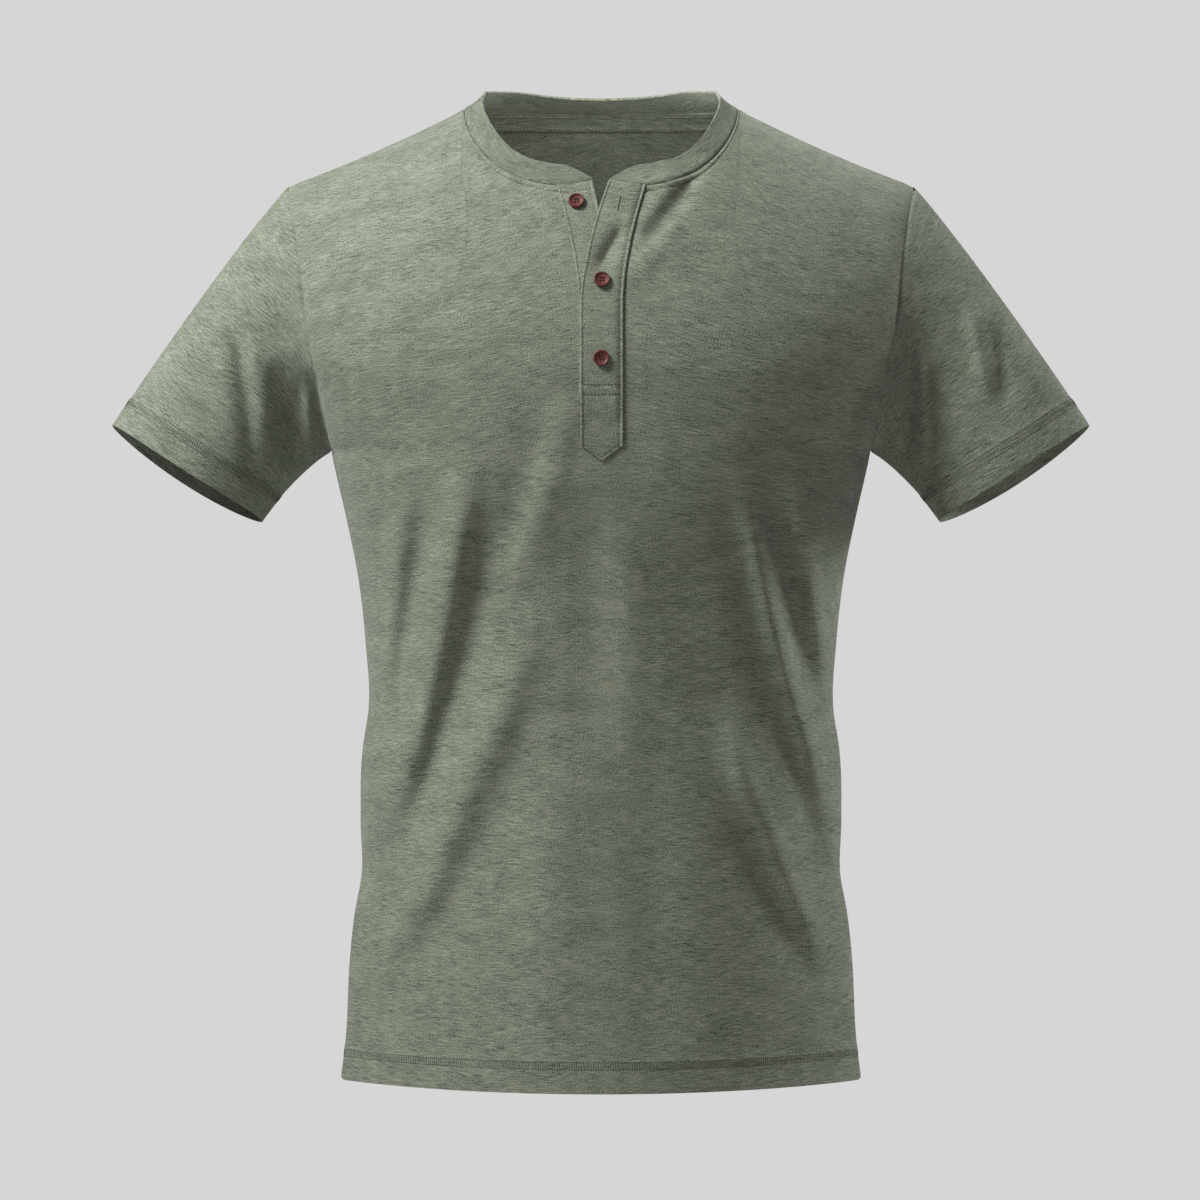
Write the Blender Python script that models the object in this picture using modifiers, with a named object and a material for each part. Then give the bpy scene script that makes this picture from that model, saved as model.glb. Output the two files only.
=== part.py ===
"""Short-sleeved henley shirt: a hollow shell of cut and sewn panels, filled out as if worn.

Metres, +Z up, the front facing -Y and the wearer's left side at +X. The origin is midway between the
sides of the neck, level with the foot of its band, where the wearer's shoulders carry the shirt.

Every panel lies on one form. Below the armpits a level section of the form is a rounded oval, and above
the chest it rounds back to the shoulder seams. The form is a depth in front of and behind the side
seams, written as a function of the place (x, z) in the front view, and the folds are added to it.
"""

import math
from collections import namedtuple

import bmesh
import bpy
import numpy as np
from mathutils import Vector

# ---- Driving dimensions ------------------------------------------------------------------------------
HEM_Z = -0.700
HEM_CORNER = 0.004  # radius of its corners at the side seams
ARMPIT_Z = -0.248
CHEST_Z = -0.200  # above this the form rounds back to the shoulders

NECK_HALF = 0.0975  # the neck seam at the shoulder
NECK_Z = -0.0020
SHOULDER_HALF = 0.2246
SHOULDER_Z = -0.0577
SHOULDER_STEEPNESS = 0.515  # of the shoulder line where it leaves the neck
NECK_CAP = 0.0251  # rise of the form over the neck opening
NECK_DROP = {"front": 0.0625, "back": -0.0025}
NECK_CURVE = {"front": (3.0, 0.60), "back": (2.0, 0.50)}

TOP_SQUARENESS = {"front": 1.65, "back": 2.5}
ARMHOLE_SWELL = 0.035  # how far the form runs on past the armhole seam
ARMHOLE_ROUNDING = 0.08

BAND_SOFTEN = 0.020  # length over which its lean is evened out
BAND_REACH = 0.087  # from the sides of the neck to its front
BAND_END_X = {"left": 0.0060, "right": -0.0062}
BAND_END_TAPER = 0.025  # length over which each front end narrows
BAND_END_SHARE = {"left": 0.20, "right": 0.14}
BAND_CLEAR = 0.0012  # its foot stands off the seam line, since the cloth creases there

PLACKET_OPEN_Z = -0.1476  # the two placket strips part above this
PLACKET_SLIT_Z = -0.222  # bottom of the cut in the front panel
TAB_Z = -0.2470  # the over placket's square shoulders
TAB_POINT = 0.0110  # and its point below them
UNDER_END_Z = -0.2140

TAPE_DROP = 0.0095

CLOTH = 0.0014  # wall of a panel
STRIP = 0.0013  # wall of a placket strip
BAND_CLOTH = 0.0020
TAPE_CLOTH = 0.0010
GAP = 0.0003
SEAM = 0.0007  # how far each panel stops short of its seam line, so that creased walls stay apart

BUTTON_RADIUS = 0.0057
BUTTON_HEIGHT = 0.0024
BUTTON_HOLE_RADIUS = 0.00075
BUTTON_HOLE_SPREAD = 0.0012
BUTTONHOLE_LENGTH = 0.0130
BUTTONHOLE_WIDTH = 0.0008
BUTTONHOLE_CENTRE = (0.0130, -0.0785)

NECK_COLUMNS = 6
SHOULDER_COLUMNS = 5
LOW_ROWS = 15
HIGH_ROWS = 12
SLEEVE_ROWS = 8

# ---- Tables ------------------------------------------------------------------------------------------
SideRow = namedtuple("SideRow", "z half_width")
SIDE = [  # the side seam up to the armpit, then the armhole seam
    SideRow(HEM_Z, 0.1874),
    SideRow(-0.660, 0.1840),
    SideRow(-0.615, 0.1819),
    SideRow(-0.580, 0.1780),
    SideRow(-0.552, 0.1727),
    SideRow(-0.513, 0.1736),
    SideRow(-0.465, 0.1722),
    SideRow(-0.430, 0.1672),
    SideRow(-0.385, 0.1696),
    SideRow(-0.340, 0.1746),
    SideRow(-0.295, 0.1834),
    SideRow(ARMPIT_Z, 0.1937),
    SideRow(-0.218, 0.1988),
    SideRow(-0.187, 0.2046),
    SideRow(-0.155, 0.2094),
    SideRow(-0.119, 0.2138),
    SideRow(-0.085, 0.2192),
    SideRow(SHOULDER_Z, SHOULDER_HALF),
]

BandRow = namedtuple("BandRow", "z stand width")
BAND_LINES = [  # degrees out of the cloth it is sewn to; z is -1 at the front, 0 at the sides, 1 at the back
    BandRow(-1.00, -10, 0.0190),
    BandRow(-0.87, -2, 0.0168),
    BandRow(-0.60, 12, 0.0165),
    BandRow(-0.30, 20, 0.0172),
    BandRow(0.00, 11, 0.0205),
    BandRow(0.40, 14, 0.0208),
    BandRow(0.62, 8, 0.0208),
    BandRow(0.78, -15, 0.0208),
]

FormRow = namedtuple("FormRow", "z front back flatness edge")
FORM = [
    FormRow(HEM_Z, 0.1110, 0.1100, 2.00, 0.90),
    FormRow(-0.600, 0.1060, 0.1040, 2.00, 0.78),
    FormRow(-0.500, 0.1025, 0.0960, 2.05, 0.66),
    FormRow(-0.420, 0.1025, 0.0940, 2.10, 0.58),
    FormRow(-0.340, 0.1085, 0.1050, 2.20, 0.50),
    FormRow(-0.270, 0.1195, 0.1160, 2.30, 0.44),
    FormRow(CHEST_Z, 0.1240, 0.1200, 2.35, 0.425),
    FormRow(0.040, 0.1240, 0.1200, 2.35, 0.425),
]

# A fold runs from its start to its end in the front view. bow moves its middle sideways, height is
# outwards where positive, and it falls away over near_width towards -X and far_width towards +X.
Fold = namedtuple("Fold", "x z end_x end_z bow height near_width far_width")
FOLDS = {
    "front": [
        Fold(-0.091, -0.235, -0.160, -0.540, 0.0105, 0.0105, 0.017, 0.012),
        Fold(-0.076, -0.250, -0.150, -0.560, 0.0100, -0.0050, 0.010, 0.020),
        Fold(-0.040, -0.350, -0.158, -0.650, 0.004, 0.0090, 0.022, 0.014),
        Fold(0.098, -0.262, 0.170, -0.525, -0.0065, 0.0100, 0.010, 0.011),
        Fold(0.109, -0.240, 0.160, -0.460, -0.003, -0.0085, 0.011, 0.013),
        Fold(0.134, -0.250, 0.166, -0.430, -0.003, 0.0070, 0.008, 0.010),
        Fold(0.082, -0.420, 0.166, -0.620, -0.007, 0.0085, 0.010, 0.012),
        Fold(0.128, -0.430, 0.168, -0.570, -0.003, -0.0050, 0.010, 0.010),
        Fold(-0.262, -0.148, -0.246, -0.275, 0.002, -0.0055, 0.008, 0.008),
        Fold(-0.236, -0.165, -0.226, -0.285, 0.001, -0.0070, 0.009, 0.010),
        Fold(0.262, -0.128, 0.276, -0.222, 0.001, 0.0040, 0.010, 0.010),
        Fold(0.216, -0.165, 0.220, -0.268, 0.000, -0.0050, 0.010, 0.010),
    ],
    "back": [
        Fold(-0.105, -0.255, -0.160, -0.500, 0.006, 0.0070, 0.014, 0.014),
        Fold(-0.060, -0.330, -0.130, -0.600, 0.008, 0.0055, 0.018, 0.016),
        Fold(0.110, -0.250, 0.162, -0.480, -0.006, 0.0070, 0.014, 0.014),
        Fold(0.066, -0.350, 0.140, -0.620, -0.006, 0.0055, 0.016, 0.018),
        Fold(0.004, -0.300, -0.010, -0.560, 0.004, -0.0040, 0.026, 0.026),
        Fold(-0.236, -0.160, -0.246, -0.265, 0.000, 0.0055, 0.011, 0.010),
        Fold(0.234, -0.165, 0.250, -0.262, 0.000, 0.0055, 0.010, 0.011),
    ],
}
FOLD_END = 0.3  # share of its length over which a fold rises and dies away
FOLD_FADE = 0.045  # folds die away this near the side and shoulder seams

Edge = namedtuple("Edge", "x opening")  # opening is how far the edge stands aside at the neck
STRIP_EDGES = {
    "over": (Edge(-0.0142, 0.0203), Edge(0.0152, 0.0160)),
    "under": (Edge(-0.0152, -0.0155), Edge(0.0068, -0.0130)),
}
SLIT_EDGES = {-1: Edge(0.0100, 0.0130), 1: Edge(0.0100, 0.0120)}  # half the cut, by side

Cuff = namedtuple("Cuff", "centre top_reach depth axis tilt sag")
CUFF = Cuff(
    centre=Vector((0.2974, -0.004, -0.2642)),
    top_reach=Vector((0.0532, 0.0, 0.0338)),
    depth=0.0510,
    axis=Vector((0.536, 0.0, -0.844)),
    tilt=0.0055,
    sag=0.0035,
)
SleeveRow = namedtuple("SleeveRow", "z start end crease")  # z is the share round from the top to the armpit
SLEEVE_LINES = [  # how strongly each line of the sleeve leaves the armhole and meets the cuff
    SleeveRow(0.00, 0.48, 0.70, 0.78),
    SleeveRow(0.35, 0.65, 0.90, 0.35),
    SleeveRow(0.75, 0.70, 1.00, 0.15),
    SleeveRow(1.00, 0.45, 0.90, 0.65),
]

ButtonRow = namedtuple("ButtonRow", "name x z strip")
BUTTONS = [
    ButtonRow("button_top", -0.0172, -0.0765, "under"),
    ButtonRow("button_middle", 0.0004, -0.1331, "over"),
    ButtonRow("button_bottom", 0.0002, -0.1870, "over"),
]

COLOURS = {
    "jersey": ((0.165, 0.190, 0.135, 1.0), 0.92),
    "button": ((0.130, 0.030, 0.028, 1.0), 0.40),
}
FACING = {"front": -1, "back": 1}


# ---- Small tools -------------------------------------------------------------------------------------
def smooth(share):
    """0 below 0, 1 above 1, and an even rise between."""
    share = np.clip(share, 0, 1)
    return share * share * (3 - 2 * share)


def read(table, column, z):
    """A column of a table at z, on a smooth curve through its rows."""
    knots = np.array([row.z for row in table])
    values = np.array([getattr(row, column) for row in table])
    slopes = np.gradient(values, knots)
    z = np.clip(z, knots[0], knots[-1])
    i = np.clip(np.searchsorted(knots, z) - 1, 0, len(knots) - 2)
    step = knots[i + 1] - knots[i]
    t = (z - knots[i]) / step
    low = values[i] * (1 + 2 * t) + slopes[i] * step * t
    high = values[i + 1] * (3 - 2 * t) - slopes[i + 1] * step * (1 - t)
    return low * (1 - t) ** 2 + high * t**2


def unit(vectors):
    return vectors / np.maximum(np.linalg.norm(vectors, axis=-1, keepdims=True), 1e-12)


def spaced(line, count, last=None):
    """count points evenly spaced along a polyline, or the last of them by itself at a given spacing."""
    along = np.concatenate([[0], np.cumsum(np.linalg.norm(np.diff(line, axis=0), axis=1))])
    at = np.linspace(0, along[-1], count)
    if last:
        at = np.append(np.linspace(0, along[-1] - last, count - 1), along[-1])
    return np.stack([np.interp(at, along, line[:, k]) for k in range(line.shape[1])], axis=1)


# ---- The form ----------------------------------------------------------------------------------------
def shoulder_height(x):
    """The top of the form: the shoulder line, and a cap across the neck."""
    out = np.abs(x) - NECK_HALF
    span = SHOULDER_HALF - NECK_HALF
    sag = (SHOULDER_Z - NECK_Z + SHOULDER_STEEPNESS * span) / span**2
    line = NECK_Z - SHOULDER_STEEPNESS * out + sag * out**2
    cap = NECK_Z + NECK_CAP * (1 - (x / NECK_HALF) ** 2)
    return np.where(out > 0, line, cap)


def side_width(z):
    """Half the width between the side seams, and above the armpits between the armhole seams."""
    return read(SIDE, "half_width", z)


def form_width(z):
    """Half the width of the whole form, which runs on past the armholes into the sleeves."""
    above = np.maximum(z - ARMPIT_Z, 0)
    return side_width(z) + ARMHOLE_SWELL * (1 - np.exp(-above / ARMHOLE_ROUNDING))


def form_depth(face, x, z):
    across = np.clip(np.abs(x) / form_width(z), 0, 1)
    side = (1 - across ** read(FORM, "flatness", z)) ** read(FORM, "edge", z)
    up = np.clip((z - CHEST_Z) / (shoulder_height(x) - CHEST_Z), 0, 1)
    top = (1 - up ** TOP_SQUARENESS[face]) ** (1 / TOP_SQUARENESS[face])
    return read(FORM, face, z) * side * top


def fold_height(face, x, z):
    """Sum of a face's folds over (x, z)."""
    total = np.zeros(np.broadcast(x, z).shape)
    for fold in FOLDS[face]:
        run = np.array([fold.end_x - fold.x, fold.end_z - fold.z])
        length = np.linalg.norm(run)
        run = run / length
        along = ((x - fold.x) * run[0] + (z - fold.z) * run[1]) / length
        across = (z - fold.z) * run[0] - (x - fold.x) * run[1]
        across = across - 4 * fold.bow * along * (1 - along)
        width = np.where(across > 0, fold.far_width, fold.near_width)
        ends = smooth(along / FOLD_END) * smooth((1 - along) / FOLD_END)
        total = total + fold.height * ends * np.exp(-((across / width) ** 2))
    return total


def folded(face, x, away, z):
    """Depth of the cloth where the plain form's depth is away."""
    return away + smooth(away / FOLD_FADE) * fold_height(face, x, z)


def cloth_points(face, x, z, lift=0.0):
    """Points of the cloth over (x, z), moved out of it by lift."""

    def y_at(px, pz):
        return FACING[face] * folded(face, px, form_depth(face, px, pz), pz)

    y = y_at(x, z)
    points = np.stack([x, y, z], axis=-1)
    if lift:
        step = 1e-4
        slope_x = (y_at(x + step, z) - y_at(x - step, z)) / (2 * step)
        slope_z = (y_at(x, z + step) - y_at(x, z - step)) / (2 * step)
        out = FACING[face] * np.stack([-slope_x, np.ones_like(y), -slope_z], axis=-1)
        points = points + lift * unit(out)
    return points


def placket_spread(z):
    """Share of their full opening by which the placket's two sides stand apart at z."""
    top = NECK_Z - NECK_DROP["front"]
    return np.clip((z - PLACKET_OPEN_Z) / (top - PLACKET_OPEN_Z), 0, 1.1) ** 1.5


def edge_x(edge, z):
    return edge.x + edge.opening * placket_spread(z)


def neck_height(face, x):
    """Height of the neck seam."""
    share = np.clip(np.abs(x) / NECK_HALF, 0, 1)
    power, root = NECK_CURVE[face]
    height = NECK_Z - NECK_DROP[face] * (1 - share**power) ** root
    if face == "front":
        corner, rise = 0.031, 0.0045  # the placket's top edges climb to the opening
        height = height + rise * smooth(1 - np.abs(x) / corner)
    return height


# ---- Panels ------------------------------------------------------------------------------------------
def slit_half(side, z):
    """How far a half panel starts from the centre line: past the placket's cut, or at the line itself."""
    if side == 0:
        return np.zeros_like(z)
    return edge_x(SLIT_EDGES[side], z) * smooth((z - PLACKET_SLIT_Z) / 0.02)


def hem_rise(share):
    """Height of the hem over its lowest line, at a share of the way out to the side seam."""
    inside = max(HEM_CORNER - side_width(HEM_Z) * (1 - share), 0)
    return HEM_CORNER - math.sqrt(HEM_CORNER**2 - inside**2)


def half_panel(face, sign):
    """Half a body panel as rows of points from the hem up, each row from the centre line out.

    The columns end on the neck seam or the shoulder seam. One row runs from the bottom of the placket's
    cut to the armpit, and the last but one lies a tape's width below the neck seam.
    """
    slit = sign if face == "front" else 0
    inner_top = float(slit_half(slit, np.array(NECK_Z - NECK_DROP["front"])))
    turn = np.linspace(0, math.pi / 2, NECK_COLUMNS + 1)
    neck_x = inner_top + (NECK_HALF - inner_top) * np.sin(turn) ** 0.9
    shoulder_x = np.linspace(NECK_HALF, SHOULDER_HALF, SHOULDER_COLUMNS + 1)[1:]
    top_x = np.concatenate([neck_x, shoulder_x])
    top_z = np.concatenate([neck_height(face, neck_x), shoulder_height(shoulder_x)])
    top_share = (top_x - inner_top) / (SHOULDER_HALF - inner_top)
    columns = NECK_COLUMNS + SHOULDER_COLUMNS
    low_share = np.sin(np.linspace(0, math.pi / 2, columns + 1))
    blend_top = NECK_Z - NECK_DROP["front"] - 0.002

    grid = np.zeros((LOW_ROWS + HIGH_ROWS + 1, columns + 1, 3))
    for j in range(columns + 1):
        break_z = PLACKET_SLIT_Z + (ARMPIT_Z - PLACKET_SLIT_Z) * smooth(j / columns)
        climb = np.sin(np.linspace(0, math.pi / 2, 400))
        parts = []
        foot = HEM_Z + hem_rise(low_share[j])
        for z in (np.linspace(foot, break_z, 400), break_z + (top_z[j] - break_z) * climb):
            blend = smooth((z + 0.30) / (0.30 + blend_top))
            share = low_share[j] + (top_share[j] - low_share[j]) * blend
            inner = slit_half(slit, z)
            x = sign * (inner + (side_width(z) - inner) * share)
            parts.append(cloth_points(face, x, z))
        low, high = parts
        grid[: LOW_ROWS + 1, j] = spaced(low, LOW_ROWS + 1)
        last = TAPE_DROP if j <= NECK_COLUMNS else None
        grid[LOW_ROWS:, j] = spaced(high, HIGH_ROWS + 1, last)
    return grid


def inset_edges(grid, sides, distance):
    """Moves the named outer edges of a grid inwards, along the cloth."""
    edges = {
        "top": (grid[-1], grid[-2]),
        "bottom": (grid[0], grid[1]),
        "outer": (grid[:, -1], grid[:, -2]),
    }
    for side in sides:
        edge, beside = edges[side]
        edge += distance * unit(beside - edge)
    return grid


def material(name):
    found = bpy.data.materials.get(name)
    if found:
        return found
    colour, roughness = COLOURS[name]
    made = bpy.data.materials.new(name)
    made.use_nodes = True
    shader = made.node_tree.nodes["Principled BSDF"]
    shader.inputs["Base Color"].default_value = colour
    shader.inputs["Roughness"].default_value = roughness
    shader.inputs["Metallic"].default_value = 0.0
    return made


def wall(name, grids, thickness, closed=False):
    """A cloth wall centred on the surface of one or more grids that share edges."""
    surface = bmesh.new()
    for grid in grids:
        rows = [[surface.verts.new(point) for point in row] for row in grid]
        for low, high in zip(rows, rows[1:]):
            if closed:
                low, high = low + low[:1], high + high[:1]
            for i in range(len(low) - 1):
                surface.faces.new((low[i], low[i + 1], high[i + 1], high[i]))
    bmesh.ops.remove_doubles(surface, verts=surface.verts, dist=1e-5)
    bmesh.ops.recalc_face_normals(surface, faces=surface.faces)
    mesh = bpy.data.meshes.new(name)
    surface.to_mesh(mesh)
    surface.free()
    mesh.shade_smooth()
    mesh.materials.append(material("jersey"))
    piece = bpy.data.objects.new(name, mesh)
    SHIRT.objects.link(piece)
    solidify = piece.modifiers.new("wall", "SOLIDIFY")
    solidify.thickness = thickness
    solidify.offset = 0
    return piece


def body_panel(name, face):
    halves = [inset_edges(HALVES[face, sign].copy(), ("outer", "top"), SEAM) for sign in (-1, 1)]
    return wall(name, halves, CLOTH)


# ---- Sleeves -----------------------------------------------------------------------------------------
def form_normals(points):
    """Outward normals of the plain form, from the slope of a function that is zero on it."""

    def inside(face, p):
        x, y, z = np.abs(p[:, 0]), np.abs(p[:, 1]), p[:, 2]
        square = TOP_SQUARENESS[face]
        up = np.clip((z - CHEST_Z) / (shoulder_height(x) - CHEST_Z), 0, None)
        across = np.clip(1 - (x / form_width(z)) ** read(FORM, "flatness", z), 0, None)
        side = across ** (square * read(FORM, "edge", z))
        return (y / read(FORM, face, z)) ** square - side * (1 - up**square)

    step = 2e-4
    slopes = np.zeros_like(points)
    for k in range(3):
        move = np.zeros(3)
        move[k] = step
        for face in FACING:
            here = (points[:, 1] < 0) == (face == "front")
            change = inside(face, points + move) - inside(face, points - move)
            slopes[:, k] += np.where(here, change, 0)
    return unit(slopes)


def armhole(sign):
    """Points round an armhole seam from the shoulder, down its front and up its back, as if on the left,
    and the direction in which the cloth runs out of the body there."""
    down = HALVES["front", sign][LOW_ROWS:, -1][::-1]
    up = HALVES["back", sign][LOW_ROWS + 1 : -1, -1]
    seam = np.concatenate([down, up]) * [sign, 1, 1]
    seam[[0, HIGH_ROWS], 1] = 0
    ahead = unit(np.roll(seam, -1, axis=0) - np.roll(seam, 1, axis=0))
    outwards = unit(np.cross(form_normals(seam), ahead))
    outwards[outwards @ np.array([1, 0, 0.3]) < 0] *= -1
    return seam, outwards


def cuff(count):
    """Points round the left cuff's edge, matched to those round the armhole."""
    turn = np.linspace(0, 2 * math.pi, count, endpoint=False)[:, None]
    forward = np.array([0.0, -CUFF.depth, 0.0])
    droop = CUFF.sag * np.sin(turn) ** 2 - CUFF.tilt * np.sin(turn)
    ring = np.array(CUFF.centre) + np.cos(turn) * np.array(CUFF.top_reach)
    return ring + np.sin(turn) * forward + droop * np.array(CUFF.axis)


def sleeve_grid(sign, rows):
    """A sleeve as rows of points from the armhole to the cuff, each row once round."""
    seam, outwards = armhole(sign)
    count = len(seam)
    edge = cuff(count)
    share = np.minimum(np.arange(count), count - np.arange(count)) / (count / 2)
    reach = np.linalg.norm(edge - seam, axis=1, keepdims=True)
    crease = read(SLEEVE_LINES, "crease", share)[:, None]
    leave = unit(outwards * (1 - crease) + unit(edge - seam) * crease)
    leave = leave * reach * read(SLEEVE_LINES, "start", share)[:, None]
    arrive = np.array(CUFF.axis) * reach * read(SLEEVE_LINES, "end", share)[:, None]
    fine = []
    for t in np.linspace(0, 1, 200):
        low = seam * (1 + 2 * t) + leave * t
        high = edge * (3 - 2 * t) - arrive * (1 - t)
        fine.append(low * (1 - t) ** 2 + high * t**2)
    fine = np.array(fine)
    grid = np.stack([spaced(fine[:, j], rows + 1) for j in range(count)], axis=1)
    grid[..., 0] *= sign
    for face in FACING:
        here = (grid[..., 1] * FACING[face] > 0) & (np.arange(rows + 1)[:, None] > 0)
        moved = FACING[face] * folded(face, grid[..., 0], np.abs(grid[..., 1]), grid[..., 2])
        grid[..., 1] = np.where(here, moved, grid[..., 1])
    return grid


def sleeve(name, sign):
    """The sleeve starts further from the seam where it creases most, under the arm."""
    grid = sleeve_grid(sign, SLEEVE_ROWS)
    count = grid.shape[1]
    share = np.minimum(np.arange(count), count - np.arange(count)) / (count / 2)
    clear = SEAM + 0.0007 * smooth(2 * share - 1)
    inset_edges(grid, ("bottom",), clear[:, None])
    return wall(name, [grid], CLOTH, closed=True)


# ---- Neck band and tape ------------------------------------------------------------------------------
def neck_seam():
    """Points along the neck seam from the over placket's corner, round the back, to the under placket's."""
    ends = []
    for side, sign in (("left", 1), ("right", -1)):
        panel_x = HALVES["front", sign][-1, 0, 0]
        x = np.linspace(BAND_END_X[side], panel_x, 4)[:-1]
        ends.append(cloth_points("front", x, neck_height("front", x)))
    top = {key: half[-1, : NECK_COLUMNS + 1] for key, half in HALVES.items()}
    left = np.concatenate([ends[0], top["front", 1], top["back", 1][::-1][1:]])
    right = np.concatenate([ends[1], top["front", -1], top["back", -1][::-1][1:-1]])
    return np.concatenate([left, right[::-1]])


def band_grid(rows):
    """The neck band as rows of points from its seam to its top edge, each from front end to front end."""
    seam = neck_seam()
    along = np.concatenate([[0], np.cumsum(np.linalg.norm(np.diff(seam, axis=0), axis=1))])
    near = np.exp(-(((along[:, None] - along) / BAND_SOFTEN) ** 2)) * np.gradient(along)
    ahead = unit(near @ unit(np.gradient(seam, axis=0)))
    out = unit(near @ form_normals(seam))
    inwards = unit(np.cross(out, ahead))
    place = seam[:, 1:2] / BAND_REACH
    angle = np.radians(read(BAND_LINES, "stand", place))
    lean = np.cos(angle) * inwards + np.sin(angle) * out
    width = read(BAND_LINES, "width", place[:, 0])
    for side, from_end in (("left", along), ("right", along[-1] - along)):
        share = BAND_END_SHARE[side]
        width = width * (share + (1 - share) * np.sin(math.pi / 2 * np.minimum(from_end / BAND_END_TAPER, 1)))
    reach = BAND_CLEAR + (width - BAND_CLEAR) * np.linspace(0, 1, rows + 1)[:, None]
    return seam + reach[..., None] * lean


def band():
    return wall("neck_band", [band_grid(3)], BAND_CLOTH)


def tape():
    """Strip that covers the neck seam inside the back, made from the top rows of the back's points."""
    lift = -(CLOTH / 2 + 4 * GAP + TAPE_CLOTH / 2)
    left, right = (HALVES["back", sign][-2:, :NECK_COLUMNS] for sign in (1, -1))
    lower, upper = np.concatenate([right[:, :0:-1], left], axis=1)
    upper = upper + 0.12 * (lower - upper)
    rows = [cloth_points("back", row[:, 0], row[:, 2], lift) for row in (lower, upper)]
    return wall("neck_tape", [np.array(rows)], TAPE_CLOTH)


# ---- Placket -----------------------------------------------------------------------------------------
def strip_lift(strip, x, z):
    """How far a strip's middle stands off the front panel's. The over placket lies on the under one, and
    comes down to the panel beyond its edge and below its end."""
    resting = CLOTH / 2 + GAP + STRIP / 2
    if strip == "under":
        return np.full_like(x, resting)
    beside = smooth((edge_x(STRIP_EDGES["over"][1], z) - x) / 0.006)
    above = smooth((z - UNDER_END_Z + 0.022) / 0.009)
    return resting + (STRIP + GAP) * beside * above


def strip_grid(strip, columns, rows):
    """A placket strip as rows of points from its lower end to the neck seam."""
    left, right = STRIP_EDGES[strip]
    neck_z = NECK_Z - NECK_DROP["front"]
    across = np.linspace(0, 1, columns + 1)
    foot = np.full(columns + 1, UNDER_END_Z)
    if strip == "over":
        foot = TAB_Z - TAB_POINT * (1 - np.abs(2 * across - 1))
    grid = []
    for share in np.linspace(0, 1, rows + 1):
        rough_z = foot + (neck_z - foot) * share
        x = edge_x(left, rough_z) * (1 - across) + edge_x(right, rough_z) * across
        z = foot + (neck_height("front", x) - 2 * GAP - foot) * share
        lift = strip_lift(strip, x, z)
        base, out = surface(x, z)
        grid.append(base + out * lift[:, None])
    return np.array(grid)


def strip(name, kind):
    return wall(name, [strip_grid(kind, 4, 18)], STRIP)


def surface(x, z):
    """Points on the front, and the directions out of the cloth there."""
    base = cloth_points("front", x, z)
    return base, cloth_points("front", x, z, 1.0) - base


def place_on_strip(strip, x, z, lift):
    """A point lift above a placket strip's middle, and the direction out of the cloth there."""
    x, z = np.array([x]), np.array([z])
    base, out = surface(x, z)
    return Vector(base[0] + out[0] * (strip_lift(strip, x, z)[0] + lift)), Vector(out[0])


def cut_buttonhole(piece):
    """The free buttonhole at the top of the over placket, cut through it."""
    place, out = place_on_strip("over", *BUTTONHOLE_CENTRE, 0.0)
    bpy.ops.mesh.primitive_cube_add(size=1, location=place)
    cutter = bpy.context.object
    cutter.name = "buttonhole_cutter"
    cutter.scale = (BUTTONHOLE_WIDTH, BUTTONHOLE_LENGTH, 0.012)
    cutter.rotation_mode = "QUATERNION"
    cutter.rotation_quaternion = out.to_track_quat("Z", "Y")
    cutter.hide_render = True
    cutter.display_type = "WIRE"
    bpy.context.collection.objects.unlink(cutter)
    CUTTERS.objects.link(cutter)
    cut = piece.modifiers.new("buttonhole", "BOOLEAN")
    cut.operation = "DIFFERENCE"
    cut.object = cutter


# ---- Buttons -----------------------------------------------------------------------------------------
def button_mesh():
    """A turned four-hole button, its back on z = 0."""
    rim, well, floor = BUTTON_RADIUS, 0.66 * BUTTON_RADIUS, 0.62 * BUTTON_HEIGHT
    profile = [
        (0.0, 0.0),
        (0.86 * rim, 0.0),
        (rim, 0.35 * BUTTON_HEIGHT),
        (rim, 0.65 * BUTTON_HEIGHT),
        (0.90 * rim, BUTTON_HEIGHT),
        (0.78 * rim, BUTTON_HEIGHT),
        (well, floor),
        (0.0, floor),
    ]
    mesh = bpy.data.meshes.new("button_profile")
    points = [(r, 0, z) for r, z in reversed(profile)]
    mesh.from_pydata(points, [(i, i + 1) for i in range(len(points) - 1)], [])
    blank = bpy.data.objects.new("button_blank", mesh)
    CUTTERS.objects.link(blank)
    screw = blank.modifiers.new("turn", "SCREW")
    screw.steps = screw.render_steps = 20
    screw.use_merge_vertices = True
    screw.merge_threshold = 0.0001
    for i in range(4):
        angle = math.radians(45 + 90 * i)
        place = [BUTTON_HOLE_SPREAD * f(angle) for f in (math.cos, math.sin)] + [0.0]
        bpy.ops.mesh.primitive_cylinder_add(
            vertices=6, radius=BUTTON_HOLE_RADIUS, depth=4 * BUTTON_HEIGHT, location=place
        )
        drill = bpy.context.object
        drill.name = f"button_drill_{i}"
        drill.hide_render = True
        drill.display_type = "WIRE"
        bpy.context.collection.objects.unlink(drill)
        CUTTERS.objects.link(drill)
        hole = blank.modifiers.new(f"hole_{i}", "BOOLEAN")
        hole.operation = "DIFFERENCE"
        hole.object = drill
    bpy.context.view_layer.update()
    graph = bpy.context.evaluated_depsgraph_get()
    made = bpy.data.meshes.new_from_object(blank.evaluated_get(graph))
    made.set_sharp_from_angle(angle=math.radians(40))
    made.materials.clear()
    made.materials.append(material("button"))
    bpy.data.objects.remove(blank)
    return made


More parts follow.
